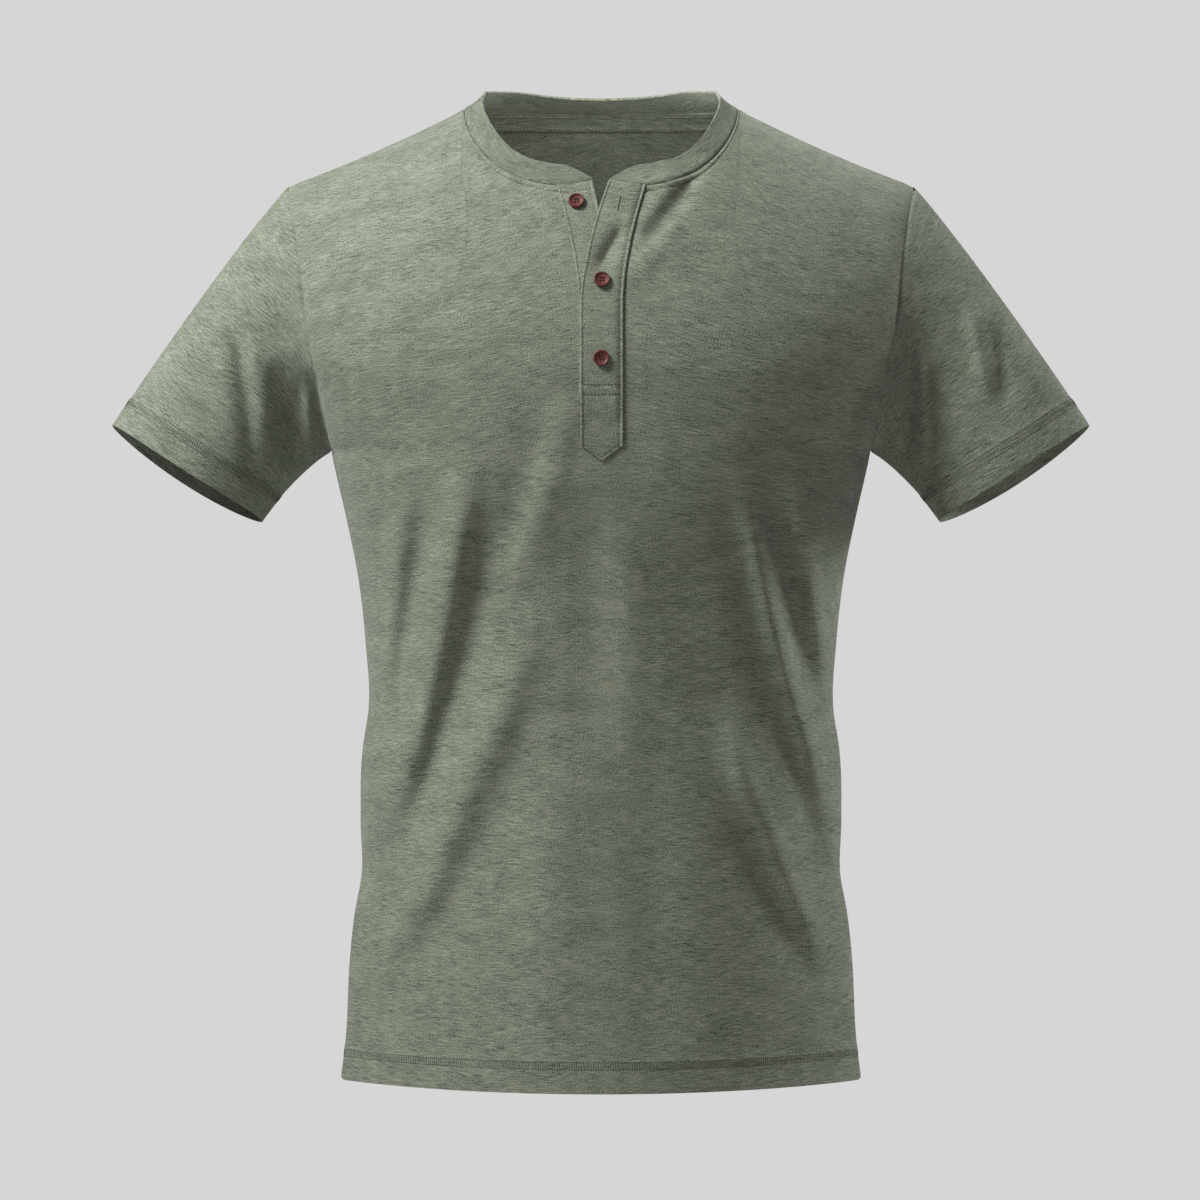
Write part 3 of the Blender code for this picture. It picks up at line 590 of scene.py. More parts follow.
def jersey(name, shade=1.0):
    """Heathered single jersey: pale and dark fibres lie in streaks along its courses."""
    material, tree, shader = nodes_of(name)
    place = new_node(tree, "ShaderNodeUVMap", {}, uv_map="cloth")
    vector = waver(tree, place.outputs["UV"])
    grain = noise(tree, vector, (850, 850), 2, 0.7)
    patches = noise(tree, vector, (26, 70), 3, 0.55)
    streaks = noise(tree, vector, (105, 1050), 2, 0.55)
    dark = ramp(tree, noise(tree, vector, (75, 900), 3, 0.6), 0.53, 0.80)
    pale = ramp(tree, noise(tree, vector, (90, 900), 2, 0.5), 0.52, 0.80)
    parts = ((grain, 1.65), (patches, 0.55), (streaks, 1.05), (dark, -0.50), (pale, 0.42))
    tone = weighed(tree, parts, -1.130)
    deep, light = (tuple(shade * value for value in colour) + (1.0,) for colour in JERSEY_COLOURS)
    base = mix(tree, tone, deep, light)
    bump = new_node(tree, "ShaderNodeBump", {"Strength": 0.8, "Distance": 0.0008, "Height": grain})
    look = {
        "Base Color": base,
        "Roughness": 0.92,
        "Specular IOR Level": 0.08,
        "Sheen Weight": 0.17,
        "Sheen Roughness": 0.45,
        "Sheen Tint": (0.80, 0.86, 0.76, 1.0),
        "Normal": bump.outputs["Normal"],
    }
    fill(tree, shader, look)
    return material


def plain(name, colour, roughness, specular):
    material, tree, shader = nodes_of(name)
    look = {"Base Color": (*colour, 1.0), "Roughness": roughness, "Specular IOR Level": specular}
    fill(tree, shader, look)
    return material


JERSEY = jersey("jersey")
# The neck band gets a darker copy of the jersey: painted shade, darker than the lamps leave the band.
SHADED_BAND_JERSEY = jersey("band_jersey_painted_shade", 0.91)
SATIN = plain("satin", (0.220, 0.240, 0.180), 0.70, 0.30)
# Stitching thread: partly its own dark green, partly painted shade of stitches sunk into the cloth.
THREAD_WITH_PAINTED_SHADE = plain("thread_with_painted_shade", (0.034, 0.040, 0.028), 0.85, 0.15)


# ---- Panels ----
def slit_half(side, z):
    """How far a half panel starts from the centre line: past the placket's cut, or at the line itself."""
    if side == 0:
        return np.zeros_like(z)
    return edge_x(SLIT_EDGES[side], z) * smooth((z - PLACKET_SLIT_Z) / SLIT_ROUNDING)


def hem_rise(share):
    """Height of the hem over its lowest line, at a share of the way out to the side seam."""
    inside = max(HEM_CORNER - side_width(HEM_Z) * (1 - share), 0)
    return HEM_CORNER - math.sqrt(HEM_CORNER**2 - inside**2)


def move_seam(face, line, ahead):
    """The front's line up to the shoulder stops short of the top, and the back's goes over it."""
    if face == "front":
        return points_at(line, np.linspace(0, run_of(line)[-1] - ahead, LINE_POINTS))
    x, z = line[-1, 0], line[-1, 2]
    drop = np.linspace(0, 1, 200) ** 2 * 0.03
    over = cloth_points("front", np.full(200, x), z - drop)
    over = points_at(over, np.linspace(0, ahead, 40))
    return np.concatenate([line, over[1:]])


def half_panel(face, sign):
    """Half a body panel as rows of points from the hem up, each row from the centre line out."""
    slit = sign if face == "front" else 0
    inner_top = float(slit_half(slit, np.array(NECK_Z - NECK_DROP["front"])))
    turn = np.linspace(0, math.pi / 2, NECK_COLUMNS + 1)
    neck_x = inner_top + (NECK_HALF - inner_top) * np.sin(turn) ** NECK_CROWDING
    share = np.linspace(0, 1, SHOULDER_COLUMNS + 1)[1:] ** SHOULDER_CROWDING
    shoulder_x = NECK_HALF + (SHOULDER_HALF - NECK_HALF) * share
    top_x = np.concatenate([neck_x, shoulder_x])
    top_z = np.concatenate([neck_height(face, neck_x), shoulder_height(shoulder_x)])
    top_share = (top_x - inner_top) / (SHOULDER_HALF - inner_top)
    columns = NECK_COLUMNS + SHOULDER_COLUMNS
    low_share = np.sin(np.linspace(0, math.pi / 2, columns + 1))
    blend_top = NECK_Z - NECK_DROP["front"] - 0.002
    ahead = SHOULDER_AHEAD * smooth((top_x - NECK_HALF) / 0.025)
    lines = []
    for j in range(columns + 1):
        break_z = PLACKET_SLIT_Z + (ARMPIT_Z - PLACKET_SLIT_Z) * smooth(j / columns)
        climb = np.sin(np.linspace(0, math.pi / 2, LINE_POINTS))
        parts = []
        rise = hem_rise(low_share[j])
        hem_lines = EDGE_LINES + [line - rise for line in HEM_LINES[len(EDGE_LINES) :]]
        for z in (np.linspace(HEM_Z + rise, break_z, LINE_POINTS), break_z + (top_z[j] - break_z) * climb):
            blend = smooth((z - BLEND_Z) / (blend_top - BLEND_Z))
            share = low_share[j] + (top_share[j] - low_share[j]) * blend
            inner = slit_half(slit, z)
            x = sign * (inner + (side_width(z) - inner) * share)
            parts.append(cloth_points(face, x, z))
        if ahead[j] > 0:
            parts[1] = move_seam(face, parts[1], ahead[j])
        low = spaced(parts[0], LOW_ROWS, first=hem_lines)
        high = spaced(parts[1], HIGH_ROWS, last=NECK_LINES)
        lines.append(np.concatenate([low, high[1:]]))
    return np.stack(lines, axis=1)


def course_height(face, grid):
    """How far up the cloth each point lies: level over the chest, and along the cloth above it."""
    x, z = grid[..., 0], grid[..., 2]
    at = np.linspace(HEM_Z, LEVEL_TO, 600)
    y = form_depth(face, np.full_like(at, LEVEL_X), at)
    run = run_of(np.stack([at, y], axis=1))
    up = run_of(grid)
    up = up - [np.interp(LEVEL_TO, z[:, j], up[:, j]) for j in range(grid.shape[1])]
    level = np.where(z < LEVEL_TO, np.interp(z, at, run), run[-1] + up)
    return level + COURSE_FALL * np.abs(x) * smooth((z - COURSE_FALL_Z) / COURSE_FALL_OVER)


def hem_push(from_edge, depth):
    return HEM_THICKNESS * smooth((depth - from_edge) / 0.0016)


def finish_half(face, grid):
    """Adds what sewing does to a half panel: its edges roll in to the seams, and its stitches pull."""
    normals = grid_normals(grid)
    normals = normals * np.sign(np.mean(normals[..., 1])) * FACING[face]
    x, z = grid[..., 0], grid[..., 2]
    exact = cloth_points(face, x, z, 1.0) - cloth_points(face, x, z)
    normals = unit(normals + (exact - normals) * smooth(form_depth(face, x, z) / 0.03)[..., None])
    from_hem = run_of(grid)
    from_top = run_of(grid[::-1])[::-1]
    from_side = run_of(grid[:, ::-1], 1)[:, ::-1]
    past_neck = np.maximum(np.abs(grid[-1, :, 0]) - NECK_HALF, 0)
    neck = np.arange(grid.shape[1]) <= NECK_COLUMNS
    top_groove = np.where(neck, raised(NECK_GROOVE[face], from_top), raised(SHOULDER_GROOVE, from_top))
    corner = raised(Ridge(CORNER_EASE, 0.0, 0.004), np.hypot(from_side, from_top))
    push = np.minimum(raised(SIDE_GROOVE, from_side), top_groove) * (1 - corner)
    push = push + raised(ARMHOLE_ROLL, from_side) * smooth((z - ARMPIT_Z) / 0.02)
    welt = NECK_WELT * np.clip(np.sin(math.pi * np.clip(from_top / NECK_STITCH, 0, 1)), 0, 1) ** 0.7
    push = push + (welt + raised(NECK_DIP, from_top)) * raised(Ridge(1.0, 0.0, 0.006), past_neck)
    push = push + hem_push(from_hem, HEM_DEPTH)
    return grid + normals * push[..., None], normals


HALVES = {(face, sign): half_panel(face, sign) for face in FACING for sign in (-1, 1)}


def panel(name, face):
    """A body panel, and the lines of its neck and hem stitches for each half."""
    parts, lines = [], {"neck": [], "hem": []}
    for sign in (-1, 1):
        grid, normals = finish_half(face, HALVES[face, sign])
        height = course_height(face, HALVES[face, sign])
        places = row_places(HALVES[face, sign], height, np.abs(grid[:, :1, 0]))
        places[..., 0] *= sign
        parts.append((grid[:, ::sign], places[:, ::sign]))
        neck_row = len(grid) - 1 - NECK_LINES.index(NECK_STITCH)
        lines["neck"].append((grid[neck_row, : NECK_COLUMNS + 1], normals[neck_row, : NECK_COLUMNS + 1]))
        lines["hem"].append([(grid[k], normals[k]) for k in HEM_STITCH_ROWS])
    piece = cloth_piece(name, parts, JERSEY, CLOTH)
    return piece, lines


# ---- Sleeves ----
def form_normals(points):
    """Which way the plain form faces at points on it, good on its edges too."""

    def inside(face, p):
        x, y, z = np.abs(p[:, 0]), np.abs(p[:, 1]), p[:, 2]
        square = TOP_SQUARENESS[face]
        up = np.clip((z - CHEST_Z) / (shoulder_height(x) - CHEST_Z), 0, None)
        across = np.clip(1 - (x / form_width(z)) ** read(FORM, "flatness", z), 0, None)
        side = across ** (square * read(FORM, "edge", z))
        return (y / read(FORM, face, z)) ** square - side * (1 - up**square)

    step = 2e-4
    slopes = np.zeros_like(points)
    for k in range(3):
        move = np.zeros(3)
        move[k] = step
        for face in FACING:
            here = (points[:, 1] < 0) == (face == "front")
            change = inside(face, points + move) - inside(face, points - move)
            slopes[:, k] += np.where(here, change, 0)
    return unit(slopes)


def armhole(sign):
    """Points round an armhole seam from the armpit, up its back and down its front, as if on the left."""
    first = HALVES["front", sign].shape[0] - (HIGH_ROWS + len(NECK_LINES) - 1)
    up = HALVES["back", sign][first:, -1]
    down = HALVES["front", sign][first + 1 : -1, -1][::-1]
    seam = np.concatenate([up, down]) * [sign, 1, 1]
    seam[0, 1] = 0
    seam[len(up) - 1, 1] = 0
    even = spaced(np.concatenate([seam, seam[:1]]), len(seam) + 1)[:-1]
    ahead = unit(np.roll(even, -1, axis=0) - np.roll(even, 1, axis=0))
    outwards = unit(np.cross(form_normals(even), ahead))
    outwards[outwards @ np.array([1, 0, 0.3]) < 0] *= -1
    return even, outwards


def cuff(share):
    """Points round the left cuff's edge, at shares of the way round from under the arm."""
    turn = (math.pi + 2 * math.pi * share)[:, None]
    forward = np.array([0.0, -CUFF.depth, 0.0])
    droop = CUFF.sag * np.sin(turn) ** 2 - CUFF.tilt * np.sin(turn)
    return CUFF.centre + np.cos(turn) * CUFF.top_reach + np.sin(turn) * forward + droop * CUFF.axis


def sleeve_grid(sign):
    """A sleeve as rows of points from the armhole to the cuff, each row going round it."""
    seam, outwards = armhole(sign)
    count = len(seam)
    share = np.arange(count) / count
    edge = cuff(share)
    down = np.abs(2 * share - 1)
    reach = np.linalg.norm(edge - seam, axis=1, keepdims=True)
    crease = read(SLEEVE_LINES, "crease", down)[:, None]
    leave = unit(outwards * (1 - crease) + unit(edge - seam) * crease)
    leave = leave * reach * read(SLEEVE_LINES, "start", down)[:, None]
    arrive = CUFF.axis * reach * read(SLEEVE_LINES, "end", down)[:, None]
    fine = []
    for t in np.linspace(0, 1, 240):
        low = seam * (1 + 2 * t) + leave * t
        high = edge * (3 - 2 * t) - arrive * (1 - t)
        fine.append(low * (1 - t) ** 2 + high * t**2)
    fine = np.array(fine)
    lines = [spaced(fine[:, j], SLEEVE_ROWS, SEAM_LINES, CUFF_LINES) for j in range(count)]
    grid = np.stack(lines, axis=1)
    grid[..., 0] *= sign
    for face in FACING:
        here = (grid[..., 1] * FACING[face] > 0) & (np.arange(len(grid))[:, None] > 0)
        moved = FACING[face] * folded(face, grid[..., 0], np.abs(grid[..., 1]), grid[..., 2])
        grid[..., 1] = np.where(here, moved, grid[..., 1])
    return grid


def sleeve(name, sign):
    grid = sleeve_grid(sign)
    normals = grid_normals(grid, closed=True)
    centre = grid.mean(axis=1, keepdims=True)
    normals = normals * np.sign(np.sum(normals * (grid - centre), axis=2).mean())
    from_seam = run_of(grid)
    from_cuff = from_seam[-1] - from_seam
    shoulder = raised(Ridge(CORNER_EASE, 0.5, 0.02), np.arange(grid.shape[1]) / grid.shape[1])
    push = (1 - shoulder) * raised(SIDE_GROOVE, from_seam) + hem_push(from_cuff, CUFF_DEPTH)
    made = grid + normals * push[..., None]
    wrapped = np.concatenate([grid, grid[:, :1]], axis=1)
    half = np.linalg.norm(np.diff(wrapped, axis=1), axis=2).sum(axis=1, keepdims=True) / 2
    height = -np.concatenate([from_cuff, from_cuff[:, :1]], axis=1)
    places = row_places(wrapped, height * sign + 3.0 * sign, -half)
    piece = cloth_piece(name, [(made, places)], JERSEY, CLOTH, closed=True)
    last = len(grid) - 1
    hems = [(made[last - k], normals[last - k]) for k in HEM_STITCH_ROWS]
    return piece, hems


# ---- Neck band and tape ----
def neck_seam():
    """Points round the neck seam, from the band's left front end round the back to its right one."""
    ends = []
    for side, sign in (("left", 1), ("right", -1)):
        panel_x = HALVES["front", sign][-1, 0, 0]
        x = np.linspace(BAND_END_X[side], panel_x, 14)[:-1]
        ends.append(cloth_points("front", x, neck_height("front", x)))
    top = {key: half[-1, : NECK_COLUMNS + 1] for key, half in HALVES.items()}
    left = np.concatenate([ends[0], top["front", 1], top["back", 1][::-1][1:]])
    right = np.concatenate([ends[1], top["front", -1], top["back", -1][::-1][1:-1]])
    return spaced(np.concatenate([left, right[::-1]]), BAND_COLUMNS)


def band():
    seam = neck_seam()
    along = run_of(seam)
    near = np.exp(-(((along[:, None] - along) / BAND_SOFTEN) ** 2)) * np.gradient(along)
    ahead = unit(near @ unit(np.gradient(seam, axis=0)))
    out = unit(near @ form_normals(seam))
    inwards = unit(np.cross(out, ahead))
    place = seam[:, 1:2] / BAND_REACH
    angle = np.radians(read(BAND_LINES, "stand", place))
    lean = np.cos(angle) * inwards + np.sin(angle) * out
    narrow = np.ones(len(seam))
    for from_end, share in ((along, BAND_END_SHARE["left"]), (along[-1] - along, BAND_END_SHARE["right"])):
        rise = np.sin(math.pi / 2 * np.minimum(from_end / BAND_END_TAPER, 1))
        narrow = narrow * (share + (1 - share) * rise)
    rows = np.array([0, 0.02, 0.05, 0.09, 0.16, 0.28, 0.42, 0.56, 0.70, 0.82, 0.91, 0.97, 1.0])
    reach = 0.0002 + (read(BAND_LINES, "width", place[:, 0]) * narrow)[None, :] * rows[:, None]
    grid = seam + reach[..., None] * lean
    normals = grid_normals(grid)
    normals = normals * np.sign(np.mean(np.sum(normals * out, axis=2)))
    curve = -read(BAND_LINES, "hollow", place[:, 0]) * np.sin(math.pi * rows)[:, None] * narrow
    fore = smooth(0.5 - 2 * place[:, 0])
    groove = fore * raised(NECK_GROOVE["front"], reach) + (1 - fore) * raised(NECK_GROOVE["back"], reach)
    made = grid + normals * (curve + groove)[..., None]
    places = row_places(grid, reach + 5.0, 0.0) * 1.25
    return cloth_piece("neck_band_cloth", [(made, places)], SHADED_BAND_JERSEY, BAND_CLOTH)


def tape():
    x = np.linspace(-TAPE_HALF, TAPE_HALF, 160)
    shares = np.array([0.0, 0.08, 0.16, 0.3, 0.5, 0.7, 0.82, 0.88, 0.94, 1.0])
    rows = []
    for share in shares:
        z = neck_height("back", x) - 0.0004 - (TAPE_DROP - 0.0004) * share
        lift = -0.0013 - 0.0003 * share - raised(TAPE_EDGE, share)
        rows.append(cloth_points("back", x, z, lift))
    grid = np.array(rows)[::-1]
    height = np.repeat(6.0 - TAPE_DROP * shares[::-1, None], len(x), axis=1)
    piece = cloth_piece("neck_tape_cloth", [(grid, row_places(grid, height, 0.0))], JERSEY, TAPE_CLOTH)
    inwards = -grid_normals(grid) * np.sign(np.mean(grid_normals(grid)[..., 1]))
    # The row by the tape's top edge is sewn in that dark thread, partly as painted shade over the edge's lit
    # rim.
    return piece, [(grid[-2], inwards[-2]), (grid[1], inwards[1]), (grid[3], inwards[3])]


# ---- Placket ----
def strip_lift(kind, x, z):
    """How far a strip's middle lies above the front panel's: the over strip also rests on the under one."""
    resting = CLOTH / 2 + STRIP / 2
    if kind == "under":
        return np.full_like(x, resting)
    beside = smooth((edge_x(STRIP_EDGES["over"][1], z) - x) / 0.006)
    above = smooth((z - UNDER_END_Z + 0.022) / 0.012)
    return resting + 0.9 * STRIP * beside * above


def surface(x, z):
    """Points of the front's cloth over (x, z), and the way it faces there."""
    base = cloth_points("front", x, z)
    return base, cloth_points("front", x, z, 1.0) - base


def strip_grid(kind):
    """A placket strip as rows of points from its lower end to the neck seam, with its edge distances."""
    left, right = STRIP_EDGES[kind]
    neck_z = NECK_Z - NECK_DROP["front"]
    edge = [0.0, 0.0005, 0.0010, EDGE_STITCH, 0.0022, 0.0030]
    width = right.x - left.x
    middle = np.linspace(edge[-1], width - edge[-1], 13)[1:-1]
    across = np.concatenate([edge, middle, width - np.array(edge[::-1])]) / width
    foot = np.full(len(across), UNDER_END_Z)
    if kind == "over":
        foot = TAB_Z - TAB_POINT * (1 - np.abs(2 * across - 1))
    length = neck_z - foot.mean()
    rows = [0.0, 0.0006, 0.0012, FOOT_STITCH, 0.0026, 0.0036]
    rows = np.concatenate([rows, np.linspace(0.0060, length - 0.0085, 90)])
    last = np.array([0.0070, NECK_STITCH, 0.0050, 0.0030, 0.0015, 0.0006, 0.0])
    rows = np.concatenate([rows, length - last])
    grid, normals = [], []
    for share in rows / length:
        rough_z = foot + (neck_z - foot) * share
        x = edge_x(left, rough_z) * (1 - across) + edge_x(right, rough_z) * across
        z = foot + (neck_height("front", x) - 0.0003 - foot) * share
        base, out = surface(x, z)
        grid.append(base + out * strip_lift(kind, x, z)[:, None])
        normals.append(out)
    return np.array(grid), np.array(normals), across * width, rows


def buttonhole_line(beside=0.0):
    """Points and normals down the buttonhole, or beside it."""
    share = np.linspace(-0.5, 0.5, 12)
    x = BUTTONHOLE_CENTRE[0] + BUTTONHOLE_LEAN * share * BUTTONHOLE_LENGTH + beside
    return on_strip("over", x, BUTTONHOLE_CENTRE[1] + share * BUTTONHOLE_LENGTH, STRIP / 2)


def cut_buttonhole(piece):
    points, normals = buttonhole_line()
    out, run = Vector(normals[6]), Vector(points[-1] - points[0]).normalized()
    turn = Matrix((out.cross(run), out, run)).transposed().to_4x4()
    bpy.ops.mesh.primitive_cube_add(size=1)
    cutter = bpy.context.object
    cutter.matrix_world = Matrix.Translation(Vector(points.mean(axis=0))) @ turn
    cutter.matrix_world @= Matrix.Diagonal((BUTTONHOLE_CUT, 0.005, BUTTONHOLE_LENGTH - 0.002, 1))
    hole = piece.modifiers.new("buttonhole", "BOOLEAN")
    hole.operation = "DIFFERENCE"
    hole.object = cutter
    bpy.context.view_layer.update()
    made = bpy.data.meshes.new_from_object(piece.evaluated_get(bpy.context.evaluated_depsgraph_get()))
    piece.modifiers.clear()
    piece.data = made
    bpy.data.objects.remove(cutter)


def strip(name, kind):
    """A placket strip, and the lines that its stitches follow."""
    grid, normals, across, rows = strip_grid(kind)
    width, length = across[-1], rows[-1]
    from_edge = np.minimum(across, width - across)[None, :]
    from_foot = rows[:, None]
    from_top = length - rows[:, None]
    stitched = np.where(across > width / 2, 1.0, 0.25)[None, :]
    push = raised(STRIP_ROLL, from_edge) + stitched * raised(STRIP_EDGE_DIP, from_edge)
    push = push + raised(STRIP_NECK_DIP, from_top) + raised(STRIP_NECK_GROOVE, from_top)
    if kind == "over":
        push = push + raised(STRIP_FOOT_DIP, from_foot) + sum(raised(dip, grid[..., 2]) for dip in BOX_DIPS)
    made = grid + normals * push[..., None]
    places = np.stack([grid[..., 0], 1.03 * grid[..., 2] + (7.0 if kind == "over" else 8.0)], axis=-1)
    piece = cloth_piece(name, [(made, places)], JERSEY, STRIP)
    if kind == "over":
        cut_buttonhole(piece)
    stitch_column = int(np.argmin(np.abs(across - EDGE_STITCH)))
    lines = {
        "right": (made[3:, -1 - stitch_column], normals[3:, -1 - stitch_column]),
        "foot": (made[3, 3:-3], normals[3, 3:-3]),
        "neck": (made[-6], normals[-6]),
    }
    return piece, lines


def on_strip(kind, x, z, lift):
    """Points above a strip's middle by lift, and the way it faces there."""
    x, z = np.atleast_1d(x).astype(float), np.atleast_1d(z).astype(float)
    base, out = surface(x, z)
    return base + out * (strip_lift(kind, x, z) + lift)[:, None], out


# ---- Stitches ----
StitchRow = namedtuple("StitchRow", "pitch length radius turn material")
STITCHES = {  # turn is in degrees from the row
    "hem_rows": StitchRow(0.0022, 0.0019, 0.00024, 0, THREAD_WITH_PAINTED_SHADE),
    "hem_ladder": StitchRow(0.0017, 0.0050, 0.00020, 84, THREAD_WITH_PAINTED_SHADE),
    "neck_stitches": StitchRow(0.0025, 0.0017, 0.00030, 0, THREAD_WITH_PAINTED_SHADE),
    "placket_stitches": StitchRow(0.0023, 0.0018, 0.00021, 0, THREAD_WITH_PAINTED_SHADE),
    "buttonhole_satin": StitchRow(0.0005, 0.0013, 0.00022, 88, SATIN),
    "tape_stitches": StitchRow(0.0025, 0.0019, 0.00023, 0, THREAD_WITH_PAINTED_SHADE),
}
STITCH_HALF = [(0.36, 0.85, -0.2), (0.50, 0.25, -0.9)]  # from its middle: along it, its girth, its dip
STITCH_SUNK = 0.2  # share of its radius that lies in the cloth


def sew(name, lines):
    """Rows of raised stitches along lines of (points, normals)."""
    points, faces, first = [], [], 0
    sewn = STITCHES[name]
    turn = math.radians(sewn.turn)
    ring = np.linspace(0, 2 * math.pi, 6, endpoint=False)
    before = [(-run, girth, dip) for run, girth, dip in STITCH_HALF[::-1]]
    shape = before + [(0.0, 1.0, 0.0)] + STITCH_HALF
    for line, normal in lines:
        along = run_of(line)
        count = max(int(along[-1] / sewn.pitch), 1)
        at = (np.arange(count) + 0.5) * along[-1] / count
        centre = points_at(line, at)
        out = unit(np.stack([np.interp(at, along, normal[:, k]) for k in range(3)], axis=1))
        ahead = unit(points_at(line, at + 1e-4) - points_at(line, at - 1e-4))
        side = unit(np.cross(ahead, out))
        ahead, side = (
            math.cos(turn) * ahead + math.sin(turn) * side,
            math.cos(turn) * side - math.sin(turn) * ahead,
        )
        rings = []
        for run, girth, dip in shape:
            middle = centre + ahead * run * sewn.length + out * sewn.radius * (dip - STITCH_SUNK)
            for angle in ring:
                away = math.cos(angle) * side + math.sin(angle) * out
                rings.append(middle + sewn.radius * girth * away)
        made = np.stack(rings, axis=1)
        points.append(made.reshape(-1, 3))
        i, j = grid_faces(len(shape), len(ring), closed=True)
        one = i * len(ring) + j % len(ring)
        faces.append((first + one[None] + np.arange(count)[:, None, None] * made.shape[1]).reshape(-1, 4))
        first += count * made.shape[1]
    tag(mesh_piece(name, np.concatenate(points), np.concatenate(faces), sewn.material), None)


def lifted(line, distance):
    points, normals = line
    return points + normals * distance, normals


def joined(lines):
    """One line from the two halves of a panel's, which both start at its centre."""
    (right, right_normals), (left, left_normals) = lines
    return (
        np.concatenate([right[::-1], left[1:]]),
        np.concatenate([right_normals[::-1], left_normals[1:]]),
    )


def looped(line):
    """A line that goes round a sleeve, with its first point again at its end."""
    points, normals = line
    return np.concatenate([points, points[:1]]), np.concatenate([normals, normals[:1]])


def between(a, b):
    return (a[0] + b[0]) / 2, unit(a[1] + b[1])


# ---- Buttons ----
def button_material():
    material, tree, shader = nodes_of("button")
    place = tree.nodes.new("ShaderNodeTexCoord")
    swirl = noise(tree, place.outputs["Object"], (260, 420), 3, 0.6)
    colour = mix(tree, ramp(tree, swirl, 0.35, 0.7), *BUTTON_COLOURS)
    fill(tree, shader, {"Base Color": colour, "Roughness": 0.52, "Specular IOR Level": 0.3})
    return material


BUTTON_PROFILE = [  # from the middle of its back to the middle of its face, in its radius and its height
    (0.0, 0.0),
    (0.80, 0.0),
    (0.93, 0.10),
    (0.99, 0.32),
    (1.00, 0.58),
    (0.975, 0.82),
    (0.92, 0.96),
    (0.86, 1.00),
    (0.79, 0.95),
    (0.73, 0.80),
    (0.68, 0.66),
    (0.60, 0.60),
    (0.30, 0.57),
    (0.0, 0.56),
]


def button_mesh():
    """A turned button with a raised rim and four drilled holes."""
    profile = np.array(BUTTON_PROFILE) * (BUTTON_RADIUS, BUTTON_HEIGHT)
    count = 64
    turn = np.linspace(0, 2 * math.pi, count, endpoint=False)
    grid = np.array([[(r * math.cos(a), r * math.sin(a), z) for a in turn] for r, z in profile])
    i, j = grid_faces(len(profile), count, closed=True)
    blank = mesh_piece("button_blank", grid.reshape(-1, 3), i * count + j % count, button_material())
    weld = blank.modifiers.new("weld", "WELD")
    weld.merge_threshold = 1e-6
    drills = []
    for k in range(4):
        angle = math.radians(45 + 90 * k)
        place = (BUTTON_HOLE_OUT * math.cos(angle), BUTTON_HOLE_OUT * math.sin(angle), 0.0)
        bpy.ops.mesh.primitive_cylinder_add(vertices=20, radius=BUTTON_HOLE, depth=0.02, location=place)
        drill = bpy.context.object
        hole = blank.modifiers.new(f"hole_{k}", "BOOLEAN")
        hole.operation = "DIFFERENCE"
        hole.object = drill
        drills.append(drill)
    bpy.context.view_layer.update()
    made = bpy.data.meshes.new_from_object(blank.evaluated_get(bpy.context.evaluated_depsgraph_get()))
    made.set_sharp_from_angle(angle=math.radians(38))
    for helper in [*drills, blank]:
        bpy.data.objects.remove(helper)
    return made


def buttons():
    mesh = button_mesh()
    for row in BUTTONS:
        place, out = on_strip(row.strip, row.x, row.z, STRIP / 2 + 0.0002)
        out = Vector(out[0])
        turn = out.to_track_quat("Z", "Y").to_matrix().to_4x4()
        spin = Matrix.Rotation(math.radians(row.turn), 4, "Z")
        button = bpy.data.objects.new(row.name + "_look", mesh)
        bpy.context.scene.collection.objects.link(button)
        button.matrix_world = Matrix.Translation(Vector(place[0])) @ turn @ spin
        tag(button, row.name)


# ---- The shirt ----
front, front_lines = panel("front_cloth", "front")
back, back_lines = panel("back_cloth", "back")
left_sleeve, left_hems = sleeve("sleeve_left_cloth", 1)
right_sleeve, right_hems = sleeve("sleeve_right_cloth", -1)
neck_band = band()
neck_tape, tape_lines = tape()
under, under_lines = strip("placket_under_cloth", "under")
over, over_lines = strip("placket_over_cloth", "over")
for piece, node, flat, area in (
    (front, "front", (0.56, 0.70), 0.31),
    (back, "back", (0.56, 0.72), 0.33),
    (left_sleeve, "sleeve_left", (0.40, 0.22), 0.068),
    (right_sleeve, "sleeve_right", (0.40, 0.22), 0.068),
    (neck_band, "neck_band", (0.55, 0.0195), None),
    (neck_tape, "neck_tape", (0.25, 0.0130), None),
    (under, "placket_under", (0.022, 0.154), None),
    (over, "placket_over", (0.030, 0.19), None),
):
    tag(piece, node)
buttons()

skin = CLOTH / 2 + PROUD
strip_skin = STRIP / 2 + PROUD
both = (front_lines["hem"], back_lines["hem"])
ladders = [[joined([half[k] for half in hem]) for k in (0, 1)] for hem in both]
ladders += [[looped(line) for line in hems] for hems in (left_hems, right_hems)]
sew("hem_rows", [lifted(line, skin) for pair in ladders for line in pair])
sew("hem_ladder", [lifted(between(*pair), skin) for pair in ladders])

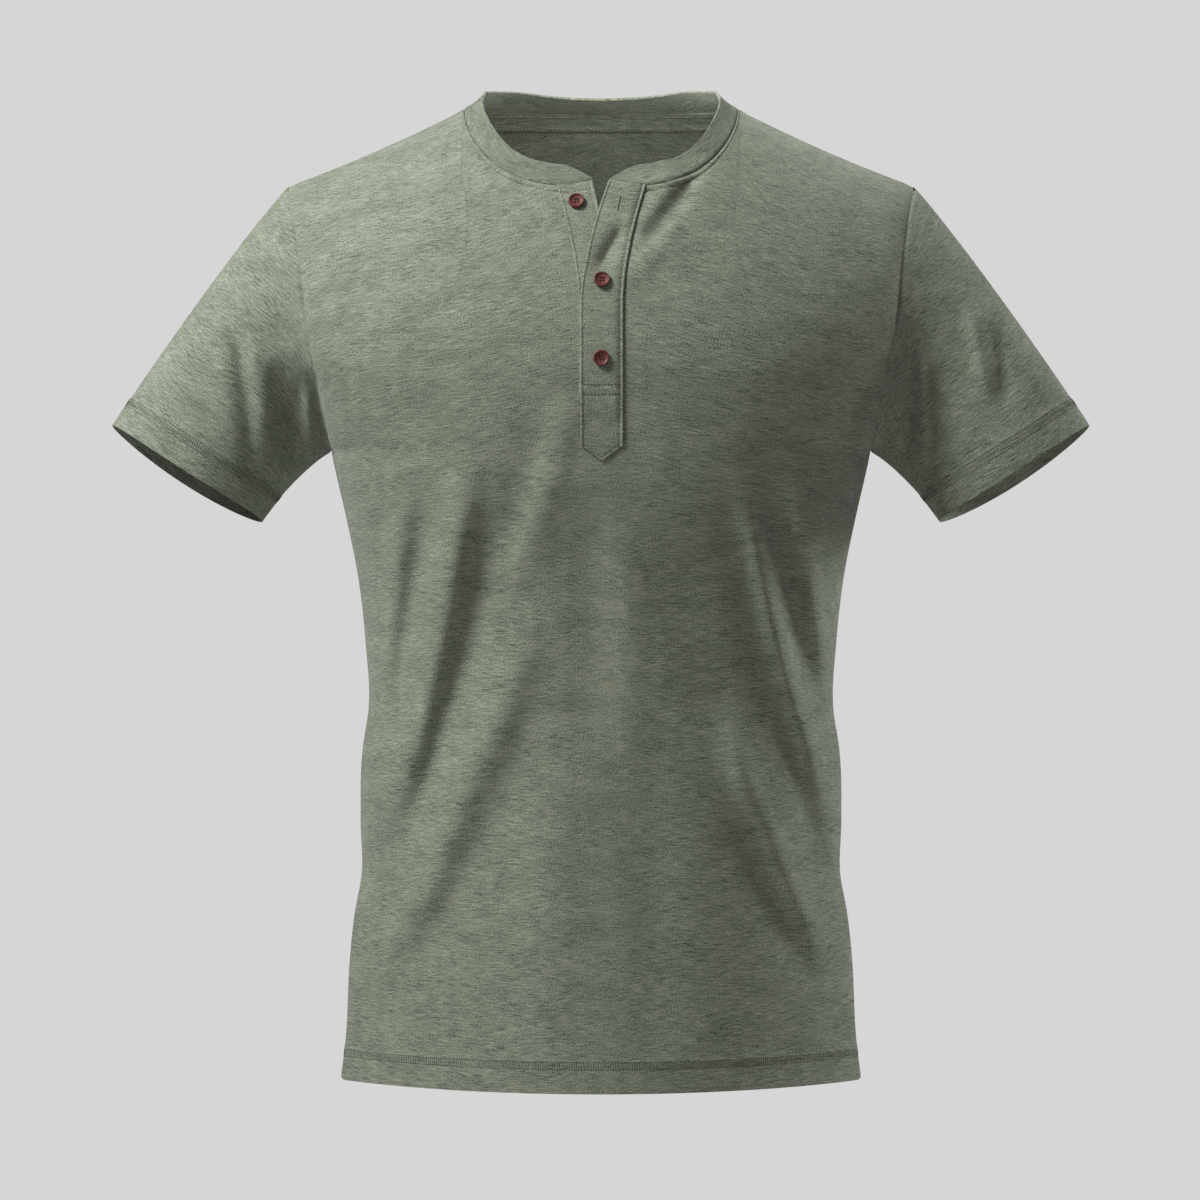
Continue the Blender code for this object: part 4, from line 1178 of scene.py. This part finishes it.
neck_rows = [lifted(line, skin) for line in (*front_lines["neck"], joined(back_lines["neck"]))]
neck_rows += [lifted(lines["neck"], strip_skin) for lines in (over_lines, under_lines)]
sew("neck_stitches", neck_rows)

box_x = np.linspace(-0.0128, 0.0138, 30)
edge_rows = [lifted(over_lines[key], strip_skin) for key in ("right", "foot")]
edge_rows += [on_strip("over", box_x, np.full_like(box_x, z), strip_skin) for z in BOX_STITCHES]
sew("placket_stitches", edge_rows)
sew("buttonhole_satin", [buttonhole_line(side) for side in (-BUTTONHOLE_CUT, BUTTONHOLE_CUT)])
sew("tape_stitches", [lifted(line, TAPE_CLOTH / 2 + 0.0001) for line in tape_lines])

# ---- Studio ----
camera_data = bpy.data.cameras.new("camera")
camera_data.lens = LENS
camera_data.sensor_width = SENSOR
camera = bpy.data.objects.new("camera", camera_data)
camera.location = CAMERA_AT
camera.rotation_euler = (math.radians(90), 0, 0)
bpy.context.scene.collection.objects.link(camera)
bpy.context.scene.camera = camera

for row in LIGHTS:
    data = bpy.data.lights.new(row.name, "AREA")
    data.size = row.size
    data.energy = row.energy
    lamp = bpy.data.objects.new(row.name, data)
    lamp.location = row.at
    lamp.rotation_euler = (Vector(row.aim) - Vector(row.at)).to_track_quat("-Z", "Y").to_euler()
    lamp.visible_camera = False
    bpy.context.scene.collection.objects.link(lamp)

floor_at = (0, 0, FLOOR_Z)
bpy.ops.mesh.primitive_circle_add(vertices=96, radius=FLOOR_RADIUS, fill_type="NGON", location=floor_at)
floor = bpy.context.object
floor.name = "floor"
floor.data.materials.append(plain("floor", (0.62, 0.62, 0.62), 0.9, 0.1))

world = bpy.data.worlds.new("studio")
world.use_nodes = True
bpy.context.scene.world = world
tree = world.node_tree
background = tree.nodes["Background"]
seen = new_node(tree, "ShaderNodeLightPath", {}).outputs["Is Camera Ray"]
level = new_node(tree, "ShaderNodeMapRange", {"Value": seen, "To Min": AMBIENT, "To Max": BACKGROUND})
fill(tree, background, {"Strength": level.outputs["Result"], "Color": (1.0, 1.0, 1.0, 1.0)})
bpy.context.scene.view_settings.view_transform = "Standard"
bpy.context.scene.view_settings.look = "None"
